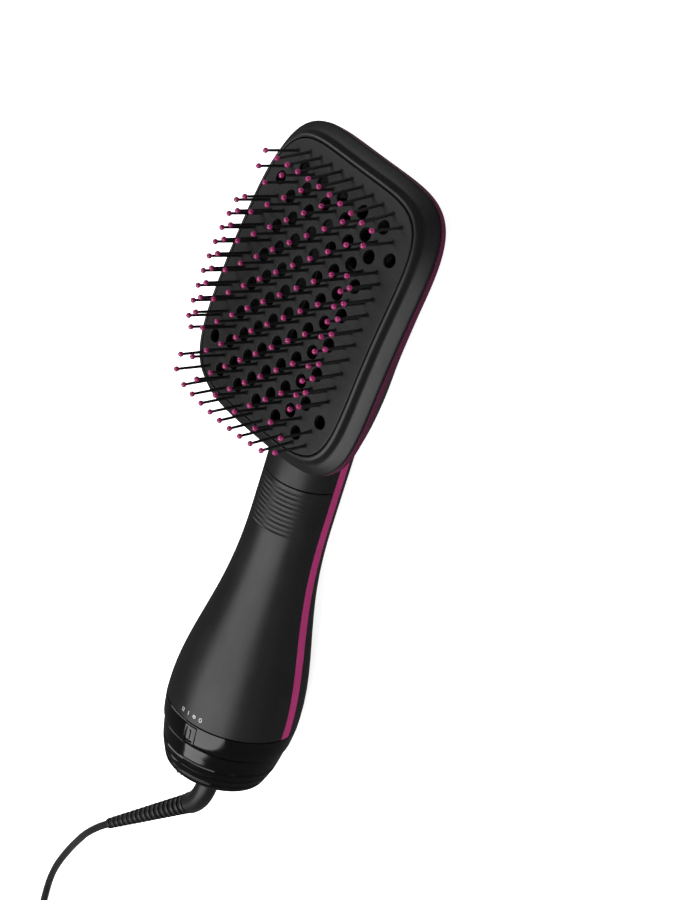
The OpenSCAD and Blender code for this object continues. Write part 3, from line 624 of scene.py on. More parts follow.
# rings round a pin; line is (radius, distance from the plate)
def pinRings(place, line, sides):
    foot, way = Vector((place[0], place[1], dome(place[0], place[1]))), pinWay(place)
    side = way.cross(Vector((0, 1, 0))).normalized()
    across = way.cross(side)
    return [[headPoint(*(foot + way * h + r * (math.cos(a) * side + math.sin(a) * across)))
             for a in roundTurns(sides)] for r, h in line]


# a round ring at a height in the head's frame, or at a depth under the dome
def headRing(u, v, radius, sides, w=None, deep=0):
    ring = []
    for a in roundTurns(sides):
        x, y = u + radius * math.cos(a), v + radius * math.sin(a)
        ring.append(headPoint(x, y, dome(x, y) - deep if w is None else w))
    return ring


# the domed top with its holes, from a net of triangles that keeps clear of the hole edges
def plateTop(settings):
    inset, power = headSettings["plateEdge"], headSettings["square"]
    edge, holes, (columns, rows) = outline(inset), holePlaces(), settings["netHalf"]
    rim, sides, step = settings["radius"] + settings["line"][0][0], settings["sides"], settings["netStep"]

    def inside(u, v, grow, limit, room):
        a, b = abs(u) / (headSettings["halfLength"] + grow), abs(v) / (headSettings["halfWidth"] + grow)
        return a ** power + b ** power < limit and all(math.hypot(u - h[0], v - h[1]) > room for h in holes)

    points, edges = [Vector(p) for p in edge], [(i, (i + 1) % len(edge)) for i in range(len(edge))]
    for u, v in holes:
        base = len(points)
        points += [Vector((u + rim * math.cos(a), v + rim * math.sin(a))) for a in roundTurns(sides)]
        edges += [(base + k, base + (k + 1) % sides) for k in range(sides)]
    for i in range(-columns, columns + 1):
        for j in range(-rows, rows + 1):
            u, v = (i + 0.5 * (j % 2)) * step, j * step * settings["netRow"]
            if inside(u, v, -settings["netInset"], 1, rim + settings["netRoom"]):
                points.append(Vector((u, v)))
    made = geometry.delaunay_2d_cdt(points, edges, [], 0, 1e-6)
    flat, kept = made[0], []
    for face in made[2]:
        u, v = [sum(flat[i][n] for i in face) / len(face) for n in (0, 1)]
        if inside(u, v, inset, 1.0005, rim * 0.995):  # a little slack, so that no edge triangle is lost
            kept.append(tuple(face))
    return [headPoint(p[0], p[1], dome(p[0], p[1])) for p in flat], kept


def makePlate(settings, pins, holes, bosses):
    parts = [plateTop(holes)]
    for u, v in holePlaces():
        rings = [headRing(u, v, holes["radius"] + more, holes["sides"], deep=deep)
                 for more, deep in holes["line"]]
        parts.append(loft(rings, caps=(False, False)))
    low, wall = settings["ledge"] + settings["skirtLift"], settings["wall"]
    skirt = [rimRing(*p) for p in settings["skirtLine"]]
    skirt += [flatRing(0, low), flatRing(-wall, low), rimRing(-wall, settings["skirtLine"][-1][1])]
    parts.append(loft([inSpace(r) for r in skirt], caps=(False, False)))
    for u, v in bossPlaces():
        line = [(bosses["line"][0][0], dome(u, v) - 1)] + bosses["line"]
        parts.append(loft([headRing(u, v, r, bosses["sides"], w) for r, w in line], caps=(False, True)))
    half, stem = pins["thick"] / 2, pins["length"] - pins["tip"] / 2
    line = [(half * r, h) for r, h in pins["stemLine"] + [(0.94, stem - 1), (0.9, stem + 0.3)]]
    for place in pinPlaces(pins):
        parts.append(loft(pinRings(place, line, pins["stemSides"]), caps=(False, True)))
    return addPiece("bristlePlate", *gather(parts), sharp=40)


def makeTips(pins):
    r, rows, line = pins["tip"] / 2, pins["tipRows"], []
    for i in range(rows):
        a = math.pi * (i + 0.35) / (rows - 0.3) - math.pi / 2
        line.append((r * math.cos(a), pins["length"] + r * math.sin(a)))
    parts = [loft(pinRings(place, line, pins["tipSides"])) for place in pinPlaces(pins)]
    return addPiece("pinTips", *gather(parts), sharp=80)


bristlePlate = makePlate(headSettings, pinSettings, holeSettings, bossSettings)
pinTips = makeTips(pinSettings)
for piece, node in ((bristlePlate, "bristle_plate"), (pinTips, "pin_tips")):
    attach(piece, "brush")
    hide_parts(node)
print("plate and pins made,", len(pinPlaces(pinSettings)), "pins")


backSettings = {
    "flatLength": 76,
    "flatWidth": 34,
    "flatX": -8,
    "swell": 1.1,  # how fast the back swells from the flat
    "steps": 22,
    "neckRadius": 18.5,
    "neckDeep": -70,
    "seam": -91,
    "seamEdge": 0.15,
    "collar": -73.4,
    "stripeTop": -74.4,
    "stripeAngle": 105,
    "stripeWidth": 5.5,
    "stripeDeep": 1.1,
    "shoulderX": -45.4,
    "shoulderWidth": 27,
    "shoulderTop": 20,
    "spigot": 16.1,
    "spigotLong": 3.5,
    "bore": 13.7,
    "trimStep": 1.2,  # how far the cover's edge stands in from the frame's width, and how deep it goes
    "trimLap": 0.05,
    "wellRadius": 3,
    "wellFloor": -23.6,  # heights in the head's frame, as are below and columnTop
    "below": -80,
    "columnRadius": 5,
    "columnTop": -17.7,
    "screwHole": 1.65,
    "wellSides": 32,
}


def backRing(inset, angle):
    settings = backSettings
    edge = rimRing(headSettings["frameWidth"] - settings["trimStep"] - inset,
                   headSettings["trimLow"] + settings["trimLap"])
    foot = squircle(settings["flatLength"] / 2, settings["flatWidth"] / 2, 3, headTurns)
    c, s = max(0, math.cos(angle)), max(0, math.sin(angle))
    h, deep = 1 - c ** (2 / settings["swell"]), s ** (2 / settings["swell"])
    ring = []
    for p, q in zip(edge, foot):
        top, x = onHead(*p), q[0] + settings["flatX"]
        ring.append(laid(top[0] + (x - top[0]) * h, top[1] + (q[1] - top[1]) * h,
                         top[2] + (floorLevel(x) + inset - top[2]) * deep))
    return ring


# a ring round the neck; the groove for the stripe has square edges
def neckRing(x, radius, groove):
    settings = backSettings
    reach = math.degrees(math.asin(settings["stripeWidth"] / 2 / settings["neckRadius"]))
    low, high = settings["stripeAngle"] - reach, settings["stripeAngle"] + reach
    half = [(low * k / 24, 0) for k in range(24)] + [(low, 0), (low, 1)]
    half += [(low + (high - low) * k / 6, 1) for k in range(1, 6)] + [(high, 1), (high, 0)]
    half += [(high + (180 - high) * k / 16, 0) for k in range(1, 16)]
    turns = half + [(180, 0)] + [(-a, g) for a, g in reversed(half[1:])]
    ring = []
    for a, deep in turns:
        r = radius - (settings["stripeDeep"] if groove and deep else 0)
        ring.append((x, r * math.sin(math.radians(a)), r * math.cos(math.radians(a))))
    return ring


def neckRings():
    settings = backSettings
    seam, r, bore, spigot = settings["seam"], settings["neckRadius"], settings["bore"], settings["spigot"]
    stripeTop, collar, edge = settings["stripeTop"], settings["collar"], settings["seamEdge"]
    spigotEnd = seam - settings["spigotLong"]
    line = [(settings["neckDeep"], bore, False), (spigotEnd, bore, False), (spigotEnd, spigot, False),
            (seam, spigot, False), (seam, r - edge, True), (seam + edge, r, True), (stripeTop, r, True),
            (stripeTop, r, False), (collar, r, False)]
    rings = [neckRing(*p) for p in line]
    wide, top, low = settings["shoulderWidth"], settings["shoulderTop"], floorLevel(settings["shoulderX"])
    tall, middle = (top - low) / 2 - 0.2, (top + low) / 2
    for k in range(1, 9):  # the shoulder widens from the neck into the head
        t = k / 8
        rings.append([(collar + (settings["shoulderX"] - collar) * t, y * (r + (wide - r) * t),
                       z * (r + (tall - r) * t) + middle * t) for x, y, z in neckRing(0, 1, False)])
    return [[laid(*p) for p in ring] for ring in rings]


# cups round the four screws: from inside the wall up to the seat, following the back's slope
def screwWells(surface):
    settings, parts, cutter = backSettings, [], []
    well, floor, column = settings["wellRadius"], settings["wellFloor"], settings["columnRadius"]
    seat, hole, below = settings["columnTop"], settings["screwHole"], settings["below"]
    up = (headPoint(0, 0, 1) - headPoint(0, 0, 0)).normalized()
    tree = BVHTree.FromPolygons([tuple(p) for p in surface[0]], surface[1])
    for u, v in bossPlaces():

        def around(radius, w):
            return headRing(u, v, radius, settings["wellSides"], w)

        def onWall(radius):
            return [tree.ray_cast(p, up)[0] + up * 1.1 * mm for p in around(radius, below)]

        rings = [onWall(well), around(well, floor), around(hole, floor), around(hole, seat),
                 around(column, seat), onWall(column)]
        parts.append(loft(rings, closed=True))
        cutter.append(loft([around(well, below), around(well, floor - 0.4)]))
    return parts, cutter


# a piece with a cutter taken out of it, as a new piece of the same name
def carved(piece, cutter, sharp, more=()):
    name = piece.name
    tool = addPiece(name + "Cutter", *cutter)
    cut = piece.modifiers.new("cut", "BOOLEAN")
    cut.operation, cut.solver, cut.object = "DIFFERENCE", "EXACT", tool
    bpy.context.view_layer.update()
    made = bpy.data.meshes.new_from_object(piece.evaluated_get(bpy.context.evaluated_depsgraph_get()))
    part = ([v.co.copy() for v in made.vertices], [tuple(p.vertices) for p in made.polygons])
    bpy.data.objects.remove(tool)
    bpy.data.objects.remove(piece)
    return addPiece(name, *gather([part, *more]), sharp)


def makeCover():
    steps = backSettings["steps"]
    outer = [backRing(0, math.pi / 2 * k / steps) for k in range(steps, -1, -1)]
    inner = [backRing(headSettings["wall"], math.pi / 2 * k / steps) for k in range(steps + 1)]
    shell = addPiece("headRearCover", *loft(outer + inner), sharp=40)
    surface = loft(outer)
    parts, cutter = screwWells(surface)
    return carved(shell, gather(cutter), 32, [loft(neckRings())] + parts)


headRearCover = makeCover()
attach(headRearCover, "brush")
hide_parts("head_rear_cover")
print("rear cover made")


# the handle is thin at the neck and swells toward its end
handleSettings = {"thin": 18.5, "more": 12.5, "from": -108, "over": 102, "late": 1.3}


# radius of the handle at a station
def swell(x):
    settings = handleSettings
    t = clamped((settings["from"] - x) / settings["over"])
    return settings["thin"] + settings["more"] * (1 - math.cos(math.pi * t ** settings["late"])) / 2


# front shell of the handle, with soft grip grooves that fade out to the sides
shellSettings = {
    "top": -91.5,
    "end": -214,
    "wall": 2.2,
    "edge": 0.15,
    "fineStep": 0.2,  # between rings where the grooves are
    "fineRings": 125,
    "plainFrom": -120,
    "plainStep": 2.5,
    "plainRings": 38,
    "half": 36,  # points from the middle to a long edge
    "grips": 10,
    "gripFirst": -94,
    "gripStep": 2.3,
    "gripDepth": 0.42,
    "gripHalf": 0.62,  # half of a groove's width
    "gripReach": 62,  # degrees to each side of the pin side
    "gripFade": 0.6,
    "postX": -161,
    "postDrop": 7,
    # radius, height above the foot
    "post": [(3.2, None), (3.2, 0), (1.25, 0), (1.25, 9)],
}


def gripAt(x, angle):
    settings = shellSettings
    k = round((settings["gripFirst"] - x) / settings["gripStep"])
    off = abs(x - settings["gripFirst"] + k * settings["gripStep"]) / settings["gripHalf"]
    side = abs(angle) / settings["gripReach"]
    if not 0 <= k < settings["grips"] or off >= 1 or side >= 1:
        return 0
    fade = math.cos(math.pi * side / 2) ** settings["gripFade"]
    return settings["gripDepth"] * math.cos(math.pi * off / 2) ** 2 * fade


def makeFrontShell(settings):
    top, end, count = settings["top"], settings["end"], settings["half"]
    cut = backSettings["stripeWidth"] / 2
    stations = [top, top - settings["edge"]]
    stations += [top - 0.4 - settings["fineStep"] * k for k in range(settings["fineRings"])]
    stations += [settings["plainFrom"] - settings["plainStep"] * k for k in range(settings["plainRings"])]
    stations += [end + 0.12, end]
    rings = []
    for x in stations:
        ring = []
        for inset, way in ((settings["edge"] if x in (top, end) else 0, 1), (settings["wall"], -1)):
            half = backSettings["stripeAngle"] - math.degrees(math.asin(cut / (swell(x) - inset)))
            for k in range(-count, count + 1):
                angle = way * half * k / count
                r = swell(x) - inset - (gripAt(x, angle) if way > 0 else 0)
                ring.append(laid(x, r * math.sin(math.radians(angle)), r * math.cos(math.radians(angle))))
        rings.append(ring)
    x, foot = settings["postX"], settings["postDrop"] - swell(settings["postX"])
    head = settings["postDrop"] - foot - 1  # inside the shell's wall
    post = loft([[laid(x + r * math.cos(a), r * math.sin(a), head if z is None else foot + z)
                  for a in roundTurns(32)] for r, z in settings["post"]])
    return addPiece("handleFrontShell", *gather([loft(rings), post]), sharp=32)


handleFrontShell = makeFrontShell(shellSettings)
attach(handleFrontShell, "brush")
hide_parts("handle_front_shell")
print("front shell made")


# selector ring with its raised pointer frame
ringSettings = {
    "top": -214.5,
    "length": 11,
    "lowRadius": 29.2,
    "swell": 1.8,
    "bore": 27,
    "edge": 0.22,
    "rings": 72,
    "fineTurn": 0.22,  # degrees between points at the pointer
    "fineTurns": 36,
    "turns": 110,
    "pointerAngle": 15.5,
    "pointerWide": 6.6,
    "pointerEdge": 1.15,
    "pointerRise": 0.55,
    "pointerMargin": 0.7,
    "bevel": 0.24,
    "sunk": 1.25,  # drop inside the frame and rise of the bar in it, as shares of the frame's rise
    "bar": 0.9,
    "barWide": 0.8,
    "barMargin": 2.4,
}


# how far the pointer stands up at a place on the ring
def pointerRise(x, across):
    settings = ringSettings
    bevel, half = settings["bevel"], settings["length"] / 2
    outX = half - settings["pointerMargin"] - abs(x - settings["top"] + half)
    out = min(outX, settings["pointerWide"] / 2 - abs(across))
    rise = clamped(out / bevel)
    sunk = clamped((out - settings["pointerEdge"]) / bevel)
    bar = clamped((settings["barWide"] / 2 - abs(across)) / bevel + 0.5)
    bar *= clamped((outX - settings["barMargin"]) / bevel)
    return settings["pointerRise"] * (rise - settings["sunk"] * sunk + settings["bar"] * bar * sunk)


def makeSelectorRing(settings):
    top, length, edge, aim = settings["top"], settings["length"], settings["edge"], settings["pointerAngle"]
    end, many, count = top - length, settings["turns"], settings["rings"]
    fine = [aim + k * settings["fineTurn"] for k in range(-settings["fineTurns"], settings["fineTurns"] + 1)]
    turns = fine + [fine[-1] + (360 - fine[-1] + fine[0]) * k / many for k in range(1, many)]

    def ringAt(x, radius=None, less=0):
        ring = []
        for angle in turns:
            share = max(0, (x - end) / length)
            r = radius or settings["lowRadius"] + settings["swell"] * math.sqrt(share) - less
            if not radius and not less:
                r += pointerRise(x, math.radians(angle - aim) * r)
            ring.append(laid(x, -r * math.sin(math.radians(angle)), r * math.cos(math.radians(angle))))
        return ring

    rings = [ringAt(top, less=edge + 0.02)]
    rings += [ringAt(top - edge - (length - 2 * edge) * k / count) for k in range(count + 1)]
    rings += [ringAt(end, less=edge), ringAt(end, settings["bore"]), ringAt(top, settings["bore"])]
    return addPiece("selectorRing", *loft(rings, closed=True), sharp=28)


selectorRing = makeSelectorRing(ringSettings)
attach(selectorRing, "selector")
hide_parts("selector_ring")
print("selector ring made")


# end cap: rounded wall with three ridged grooves, slots in its flat end, and the ring's sleeve
capSettings = {
    # radius, station
    "outer": [(29, -226.15), (28.3, -230), (27, -236.5), (25.4, -241), (23.8, -245), (22.6, -246.3)],
    "flatEnd": [(21.5, -246.88), (21, -247), (5.4, -247), (5.4, -244.5)],
    "inner": [(21.2, -244.5), (21.2, -212.2), (22.95, -212.2), (22.95, -237), (25.8, -237), (25.8, -226),
              (28.85, -226)],
    "grooves": [-234.6, -238.9, -242.6],
    "grooveDepth": 0.55,
    "grooveHalf": 0.5,
    "sides": 144,
    "cut": (-248, -243.5),  # the slots and screw holes go through the end
    "slots": 18,
    "slotHalf": 1.1,
    "slotFrom": 10.5,  # middles of a slot's round ends
    "slotTo": 17.3,
    "screws": [90, -30, -150],  # degrees from the near side
    "screwRing": 19.2,
    "screwHole": 1.2,
    "screwSides": 24,
}


def makeEndCap(settings):
    line = []
    for r, x in smoothLine(settings["outer"], 16):
        level = max(clamped(1.5 - abs(x - groove) / settings["grooveHalf"]) for groove in settings["grooves"])
        line.append((r - settings["grooveDepth"] * level, x))
    rings = turnedRings(line + settings["flatEnd"] + settings["inner"], settings["sides"])
    cap = addPiece("endCap", *loft(rings, closed=True), sharp=30)
    holes = []
    for turn in roundTurns(settings["slots"]):
        c, s = math.cos(turn), math.sin(turn)
        line = []
        for middle, start in ((settings["slotFrom"], 0.5), (settings["slotTo"], -0.5)):
            for k in range(9):
                a = math.pi * (start + k / 8)
                out, across = middle + settings["slotHalf"] * math.cos(a), settings["slotHalf"] * math.sin(a)
                line.append((out * c - across * s, out * s + across * c))
        holes.append(line)
    for angle in settings["screws"]:
        turn, r = math.radians(angle), settings["screwHole"]
        y, z = settings["screwRing"] * math.cos(turn), settings["screwRing"] * math.sin(turn)
        holes.append([(y + r * math.cos(a), z + r * math.sin(a)) for a in roundTurns(settings["screwSides"])])
    cutter = [loft([[laid(x, *p) for p in line] for x in settings["cut"]]) for line in holes]
    return carved(cap, gather(cutter), 30)


endCap = makeEndCap(capSettings)
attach(endCap, "brush")
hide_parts("end_cap")
print("end cap made")


# heating wire, a close helix round the boards
heaterSettings = {"from": -142, "to": -102, "turns": 8, "radius": 12.1, "wire": 1, "pointsPerTurn": 32}


def makeHeater(settings):
    line, count = [], settings["turns"] * settings["pointsPerTurn"]
    for i in range(count + 1):
        a = 2 * math.pi * i / settings["pointsPerTurn"]
        x = settings["from"] + (settings["to"] - settings["from"]) * i / count
        line.append(laid(x, settings["radius"] * math.cos(a), settings["radius"] * math.sin(a)) / mm)
    return addCurve("heatingWire", line, settings["wire"])


heatingWire = makeHeater(heaterSettings)
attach(heatingWire, "brush")
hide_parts("heating_wire")


# printed marks by the selector: II, I, a snowflake and 0
markSettings = {
    "station": -210.4,
    "angles": {"two": 2.5, "one": 9, "flake": 15.5, "none": 22},  # from the pin side toward the near side
    "height": 2,
    "stroke": 0.3,
    "lift": 0.03,
}


def strokes(name, height):
    h = height / 2
    if name == "one":
        return [[(0, -h), (0, h)]]
    if name == "two":
        return [[(-0.45, -h), (-0.45, h)], [(0.45, -h), (0.45, h)]]
    if name == "none":
        return [[(0.62 * h * math.sin(a), h * math.cos(a)) for a in roundTurns(28) + [2 * math.pi]]]
    lines = []
    for a in roundTurns(6):
        way, side = (math.sin(a), math.cos(a)), (math.cos(a), -math.sin(a))
        lines.append([(0, 0), (way[0] * h, way[1] * h)])
        for s in (-1, 1):
            root = (way[0] * h * 0.55, way[1] * h * 0.55)
            lines.append([root, tuple(root[n] + 0.3 * h * (way[n] + s * side[n]) for n in (0, 1))])
    return lines


def makeMarks(settings):
    parts = []
    for name, angle in settings["angles"].items():
        wide = settings["stroke"] * (0.6 if name == "flake" else 1) / 2
        for line in strokes(name, settings["height"]):
            if name in ("one", "two"):
                line = [(line[0][0], line[0][1] + (line[1][1] - line[0][1]) * k / 4) for k in range(5)]
            left, right = [], []
            for i, p in enumerate(line):
                a, b = line[max(i - 1, 0)], line[min(i + 1, len(line) - 1)]
                if i in (0, len(line) - 1) and line[0] == line[-1]:
                    a, b = line[-2], line[1]
                way = Vector((b[0] - a[0], b[1] - a[1])).normalized()
                for side, s in ((left, -1), (right, 1)):
                    x = settings["station"] + p[1] + s * way[0] * wide
                    r = swell(x) + settings["lift"]
                    # the round of the handle carries the mark; to the right is toward the near side
                    turn = math.radians(angle) + (p[0] - s * way[1] * wide) / r
                    side.append(laid(x, -r * math.sin(turn), r * math.cos(turn)))
            count = len(left)
            parts.append((left + right, [(i, i + 1, count + i + 1, count + i) for i in range(count - 1)]))
    return addPiece("selectorMarks", *gather(parts))


selectorMarks = makeMarks(markSettings)
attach(selectorMarks, "brush")
print("heating wire and marks made")


# materials
def newMaterial(name, specular=0.5):
    material = bpy.data.materials.new(name)
    material.use_nodes = True
    tree = material.node_tree
    shader = tree.nodes["Principled BSDF"]
    shader.inputs["Specular IOR Level"].default_value = specular
    return material, tree, shader, tree.nodes.new("ShaderNodeTexCoord").outputs["Object"]


# a node with its fixed values and its links
def addNode(tree, kind, values, links):
    node = tree.nodes.new("ShaderNode" + kind)
    for name, value in values.items():
        node.inputs[name].default_value = value
    for name, socket in links.items():
        tree.links.new(socket, node.inputs[name])
    return node


def stretched(tree, where, scale, turn=(0, 0, 0)):
    values = {"Scale": scale, "Rotation": [math.radians(a) for a in turn]}
    return addNode(tree, "Mapping", values, {"Vector": where}).outputs["Vector"]


def noise(tree, where, scale, detail=3, rough=0.5):
    values = {"Scale": scale, "Detail": detail, "Roughness": rough}
    return addNode(tree, "TexNoise", values, {"Vector": where}).outputs["Fac"]


def bands(tree, where, scale, distortion, direction="X"):
    wave = addNode(tree, "TexWave", {"Scale": scale, "Distortion": distortion}, {"Vector": where})
    wave.bands_direction = direction
    return wave.outputs["Fac"]


def shades(tree, value, low, high, lowAt=0.35, highAt=0.65):
    node = addNode(tree, "ValToRGB", {}, {"Fac": value})
    for i, (colour, at) in enumerate(((low, lowAt), (high, highAt))):
        node.color_ramp.elements[i].color = (*colour, 1)
        node.color_ramp.elements[i].position = at
    return node.outputs["Color"]


def spread(tree, value, low, high, lowAt=0.3, highAt=0.7):
    values = {"From Min": lowAt, "From Max": highAt, "To Min": low, "To Max": high}
    return addNode(tree, "MapRange", values, {"Value": value}).outputs["Result"]


def combined(tree, first, second, operation):
    node = addNode(tree, "Math", {}, {0: first, 1: second})
    node.operation = operation
    return node.outputs["Value"]


# colour and gloss of a surface
def paint(tree, shader, colour, rough):
    tree.links.new(colour, shader.inputs["Base Color"])
    tree.links.new(rough, shader.inputs["Roughness"])


def relief(tree, shader, height, strength, distance):
    bump = addNode(tree, "Bump", {"Strength": strength, "Distance": distance}, {"Height": height})
    tree.links.new(bump.outputs["Normal"], shader.inputs["Normal"])


# the colour, darker and lighter by a share, as the value goes
def shaded(tree, value, colour, vary):
    return shades(tree, value, [c * (1 - vary) for c in colour], [c * (1 + vary) for c in colour])


# moulded plastic: a fine spark-eroded grain, faint flow shades and handling marks in its gloss
def mouldedPlastic(name, colour, rough, specular=0.5, grain=2600, depth=0.25, vary=0.12, wear=0.04):
    material, tree, shader, where = newMaterial(name, specular)
    smear = noise(tree, stretched(tree, where, (60, 190, 190)), 1, 5, 0.6)
    paint(tree, shader, shaded(tree, noise(tree, where, 38, 4, 0.55), colour, vary),
          spread(tree, smear, rough - wear, rough + wear))
    relief(tree, shader, noise(tree, where, grain, 2, 0.5), depth, 0.00012)
    return material


plasticSettings = {
    "satinBlack": {"colour": (0.0068, 0.0068, 0.0072), "rough": 0.38, "specular": 0.32},
    "backBlack": {"colour": (0.0065, 0.0065, 0.007), "rough": 0.42, "specular": 0.3},
    "glossBlack": {"colour": (0.002, 0.002, 0.0023), "rough": 0.1, "specular": 0.4, "depth": 0.03,
                   "wear": 0.025},
    "innerBlack": {"colour": (0.01, 0.01, 0.011), "rough": 0.55, "specular": 0.3},
    "stripeRose": {"colour": (0.235, 0.009, 0.085), "rough": 0.3, "specular": 0.38, "depth": 0.06,
                   "vary": 0.06},
    # the head's trim is the stripe's rose plastic, painted darker with painted shade for the shade it sits in
    "trimRosePaintedShade": {"colour": (0.06, 0.004, 0.024), "rough": 0.4, "specular": 0.25, "depth": 0.06, "vary": 0.06},
    "fanRose": {"colour": (0.24, 0.02, 0.11), "rough": 0.4},
    "ductGrey": {"colour": (0.045, 0.045, 0.05), "rough": 0.5},
    "switchBrown": {"colour": (0.12, 0.035, 0.018), "rough": 0.32, "grain": 1500},
    "carrierIvory": {"colour": (0.62, 0.58, 0.48), "rough": 0.42},
    "clampGrey": {"colour": (0.07, 0.07, 0.075), "rough": 0.45},
}
finishes = {name: mouldedPlastic(name, **settings) for name, settings in plasticSettings.items()}


# the plate's top has a fine crossed grain, as if woven, over the moulded plastic
plateSettings = {
    "low": (0.0085, 0.0085, 0.0088),
    "high": (0.0115, 0.0115, 0.012),
    "specular": 0.24,
    "lines": 380,
    "depth": 0.35,
}


def plateTexture(settings):
    material, tree, shader, where = newMaterial("platePlastic", settings["specular"])
    cloud = noise(tree, where, 45, 4, 0.6)
    paint(tree, shader, shades(tree, cloud, settings["low"], settings["high"]), spread(tree, cloud, 0.44, 0.54))
    lines = [bands(tree, stretched(tree, where, (1, 1, 1), (0, 0, turn)), settings["lines"], 0.4)
             for turn in (45, -45)]
    weave = combined(tree, combined(tree, *lines, "MULTIPLY"), noise(tree, where, 2200, 2), "ADD")
    relief(tree, shader, weave, settings["depth"], 0.0001)
    return material


finishes["platePlastic"] = plateTexture(plateSettings)


# tips of the pins: glossy nylon that lets a little light in, with faint lengthwise flow
tipSettings = {"colour": (0.25, 0.016, 0.1), "rough": 0.15, "depth": 0.1, "reach": (0.0012, 0.0005, 0.0007)}


def tipPlastic(settings):
    material, tree, shader, where = newMaterial("tipRose")
    cloud, rough = noise(tree, stretched(tree, where, (700, 700, 120)), 1, 3, 0.5), settings["rough"]
    paint(tree, shader, shaded(tree, cloud, settings["colour"], 0.15),
          spread(tree, cloud, rough - 0.04, rough + 0.05))
    shader.inputs["Subsurface Weight"].default_value = settings["depth"]
    shader.inputs["Subsurface Radius"].default_value = settings["reach"]
    relief(tree, shader, noise(tree, where, 1600, 2), 0.12, 0.00008)
    return material


finishes["tipRose"] = tipPlastic(tipSettings)


# soft PVC of the lead: a dull bloom and a fine grain
def rubber(name, colour, rough):
    material, tree, shader, where = newMaterial(name, 0.35)
    cloud = noise(tree, where, 90, 5, 0.6)
    paint(tree, shader, shaded(tree, cloud, colour, 0.2), spread(tree, cloud, rough - 0.06, rough + 0.06))
    shader.inputs["Sheen Weight"].default_value = 0.05
    shader.inputs["Sheen Roughness"].default_value = 0.4
    relief(tree, shader, noise(tree, where, 1900, 3), 0.3, 0.0001)
    return material


rubberSettings = {
    "leadRubber": ((0.008, 0.008, 0.0085), 0.4),
    "reliefRubber": ((0.006, 0.006, 0.0065), 0.38),
    "plugRubber": ((0.016, 0.016, 0.017), 0.5),
    "damperRubber": ((0.02, 0.02, 0.021), 0.62),
    "wireSleeve": ((0.16, 0.07, 0.04), 0.5),
}
finishes.update({name: rubber(name, *settings) for name, settings in rubberSettings.items()})


# woven strap of the tie, ribbed across
def strapTexture(name):
    material, tree, shader, where = newMaterial(name)
    wave = bands(tree, where, 420, 1.2, "DIAGONAL")
    paint(tree, shader, shades(tree, wave, (0.01, 0.01, 0.011), (0.035, 0.035, 0.038)),
          spread(tree, wave, 0.65, 0.8, 0, 1))
    shader.inputs["Sheen Weight"].default_value = 0.3
    relief(tree, shader, wave, 0.6, 0.0002)
    return material


finishes["tieStrap"] = strapTexture("tieStrap")


# drawn or turned metal with fine lines and some tarnish
def metal(name, colour, rough, drawn=(40, 900, 900), stain=None):
    material, tree, shader, where = newMaterial(name)
    shader.inputs["Metallic"].default_value = 1
    cloud = noise(tree, where, 120, 5, 0.65)
    fine = noise(tree, stretched(tree, where, drawn), 1, 4, 0.6)
    paint(tree, shader, shades(tree, cloud, stain or [c * 0.75 for c in colour], colour),
          spread(tree, fine, rough - 0.08, rough + 0.1))
    relief(tree, shader, fine, 0.15, 0.00005)
    return material


metalSettings = {
    "screwSteel": ((0.52, 0.52, 0.54), 0.32, (500, 500, 500)),
    "motorCan": ((0.56, 0.56, 0.57), 0.3),
    "shaftSteel": ((0.62, 0.62, 0.64), 0.18),
    "pinBrass": ((0.66, 0.64, 0.6), 0.22, (900, 60, 900)),
    "heaterWire": ((0.5, 0.44, 0.4), 0.36, (400, 400, 400), (0.28, 0.2, 0.24)),
    "screenSteel": ((0.4, 0.4, 0.42), 0.4, (600, 600, 600)),
    "thermostatTin": ((0.6, 0.58, 0.52), 0.34, (500, 500, 500)),
}
finishes.update({name: metal(name, *settings) for name, settings in metalSettings.items()})


# mica board and circuit board: flecks in layers
def layered(name, low, high, scale, rough, sheen=0):
    material, tree, shader, where = newMaterial(name)
    flecks = addNode(tree, "TexVoronoi", {"Scale": scale}, {"Vector": where}).outputs["Distance"]
    cloud = noise(tree, where, scale / 4, 5, 0.6)
    mixed = combined(tree, flecks, cloud, "MULTIPLY")
    paint(tree, shader, shades(tree, mixed, low, high, 0.05, 0.4),
          spread(tree, cloud, rough - 0.08, rough + 0.08))
    shader.inputs["Sheen Weight"].default_value = sheen
    relief(tree, shader, flecks, 0.3, 0.0001)
    return material


finishes["micaBoard"] = layered("micaBoard", (0.5, 0.4, 0.24), (0.7, 0.6, 0.4), 900, 0.45, 0.1)
finishes["circuitBoard"] = layered("circuitBoard", (0.015, 0.09, 0.04), (0.03, 0.16, 0.07), 1500, 0.35)


def printedWhite(name):
    material, tree, shader, where = newMaterial(name)
    worn = noise(tree, where, 900, 4, 0.6)
    paint(tree, shader, shades(tree, worn, (0.42, 0.42, 0.43), (0.62, 0.62, 0.63)),
          spread(tree, worn, 0.5, 0.6))
    return material


finishes["printedWhite"] = printedWhite("printedWhite")


def paleFloor(glow):
    material, tree, shader, where = newMaterial("paleFloor", 0.05)
    shader.inputs["Emission Color"].default_value = (1, 1, 1, 1)
    shader.inputs["Emission Strength"].default_value = glow
    shader.inputs["Roughness"].default_value = 0.9
    cloud = shades(tree, noise(tree, where, 3, 3, 0.5), (0.86, 0.86, 0.86), (0.88, 0.88, 0.88))
    tree.links.new(cloud, shader.inputs["Base Color"])
    return material


# CAD nodes keep their mesh and get the material in every slot
def dress(piece, material):
    if "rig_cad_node" in piece:
        for slot in piece.material_slots:
            slot.material = material
        return
    piece.data.materials.clear()
    piece.data.materials.append(material)


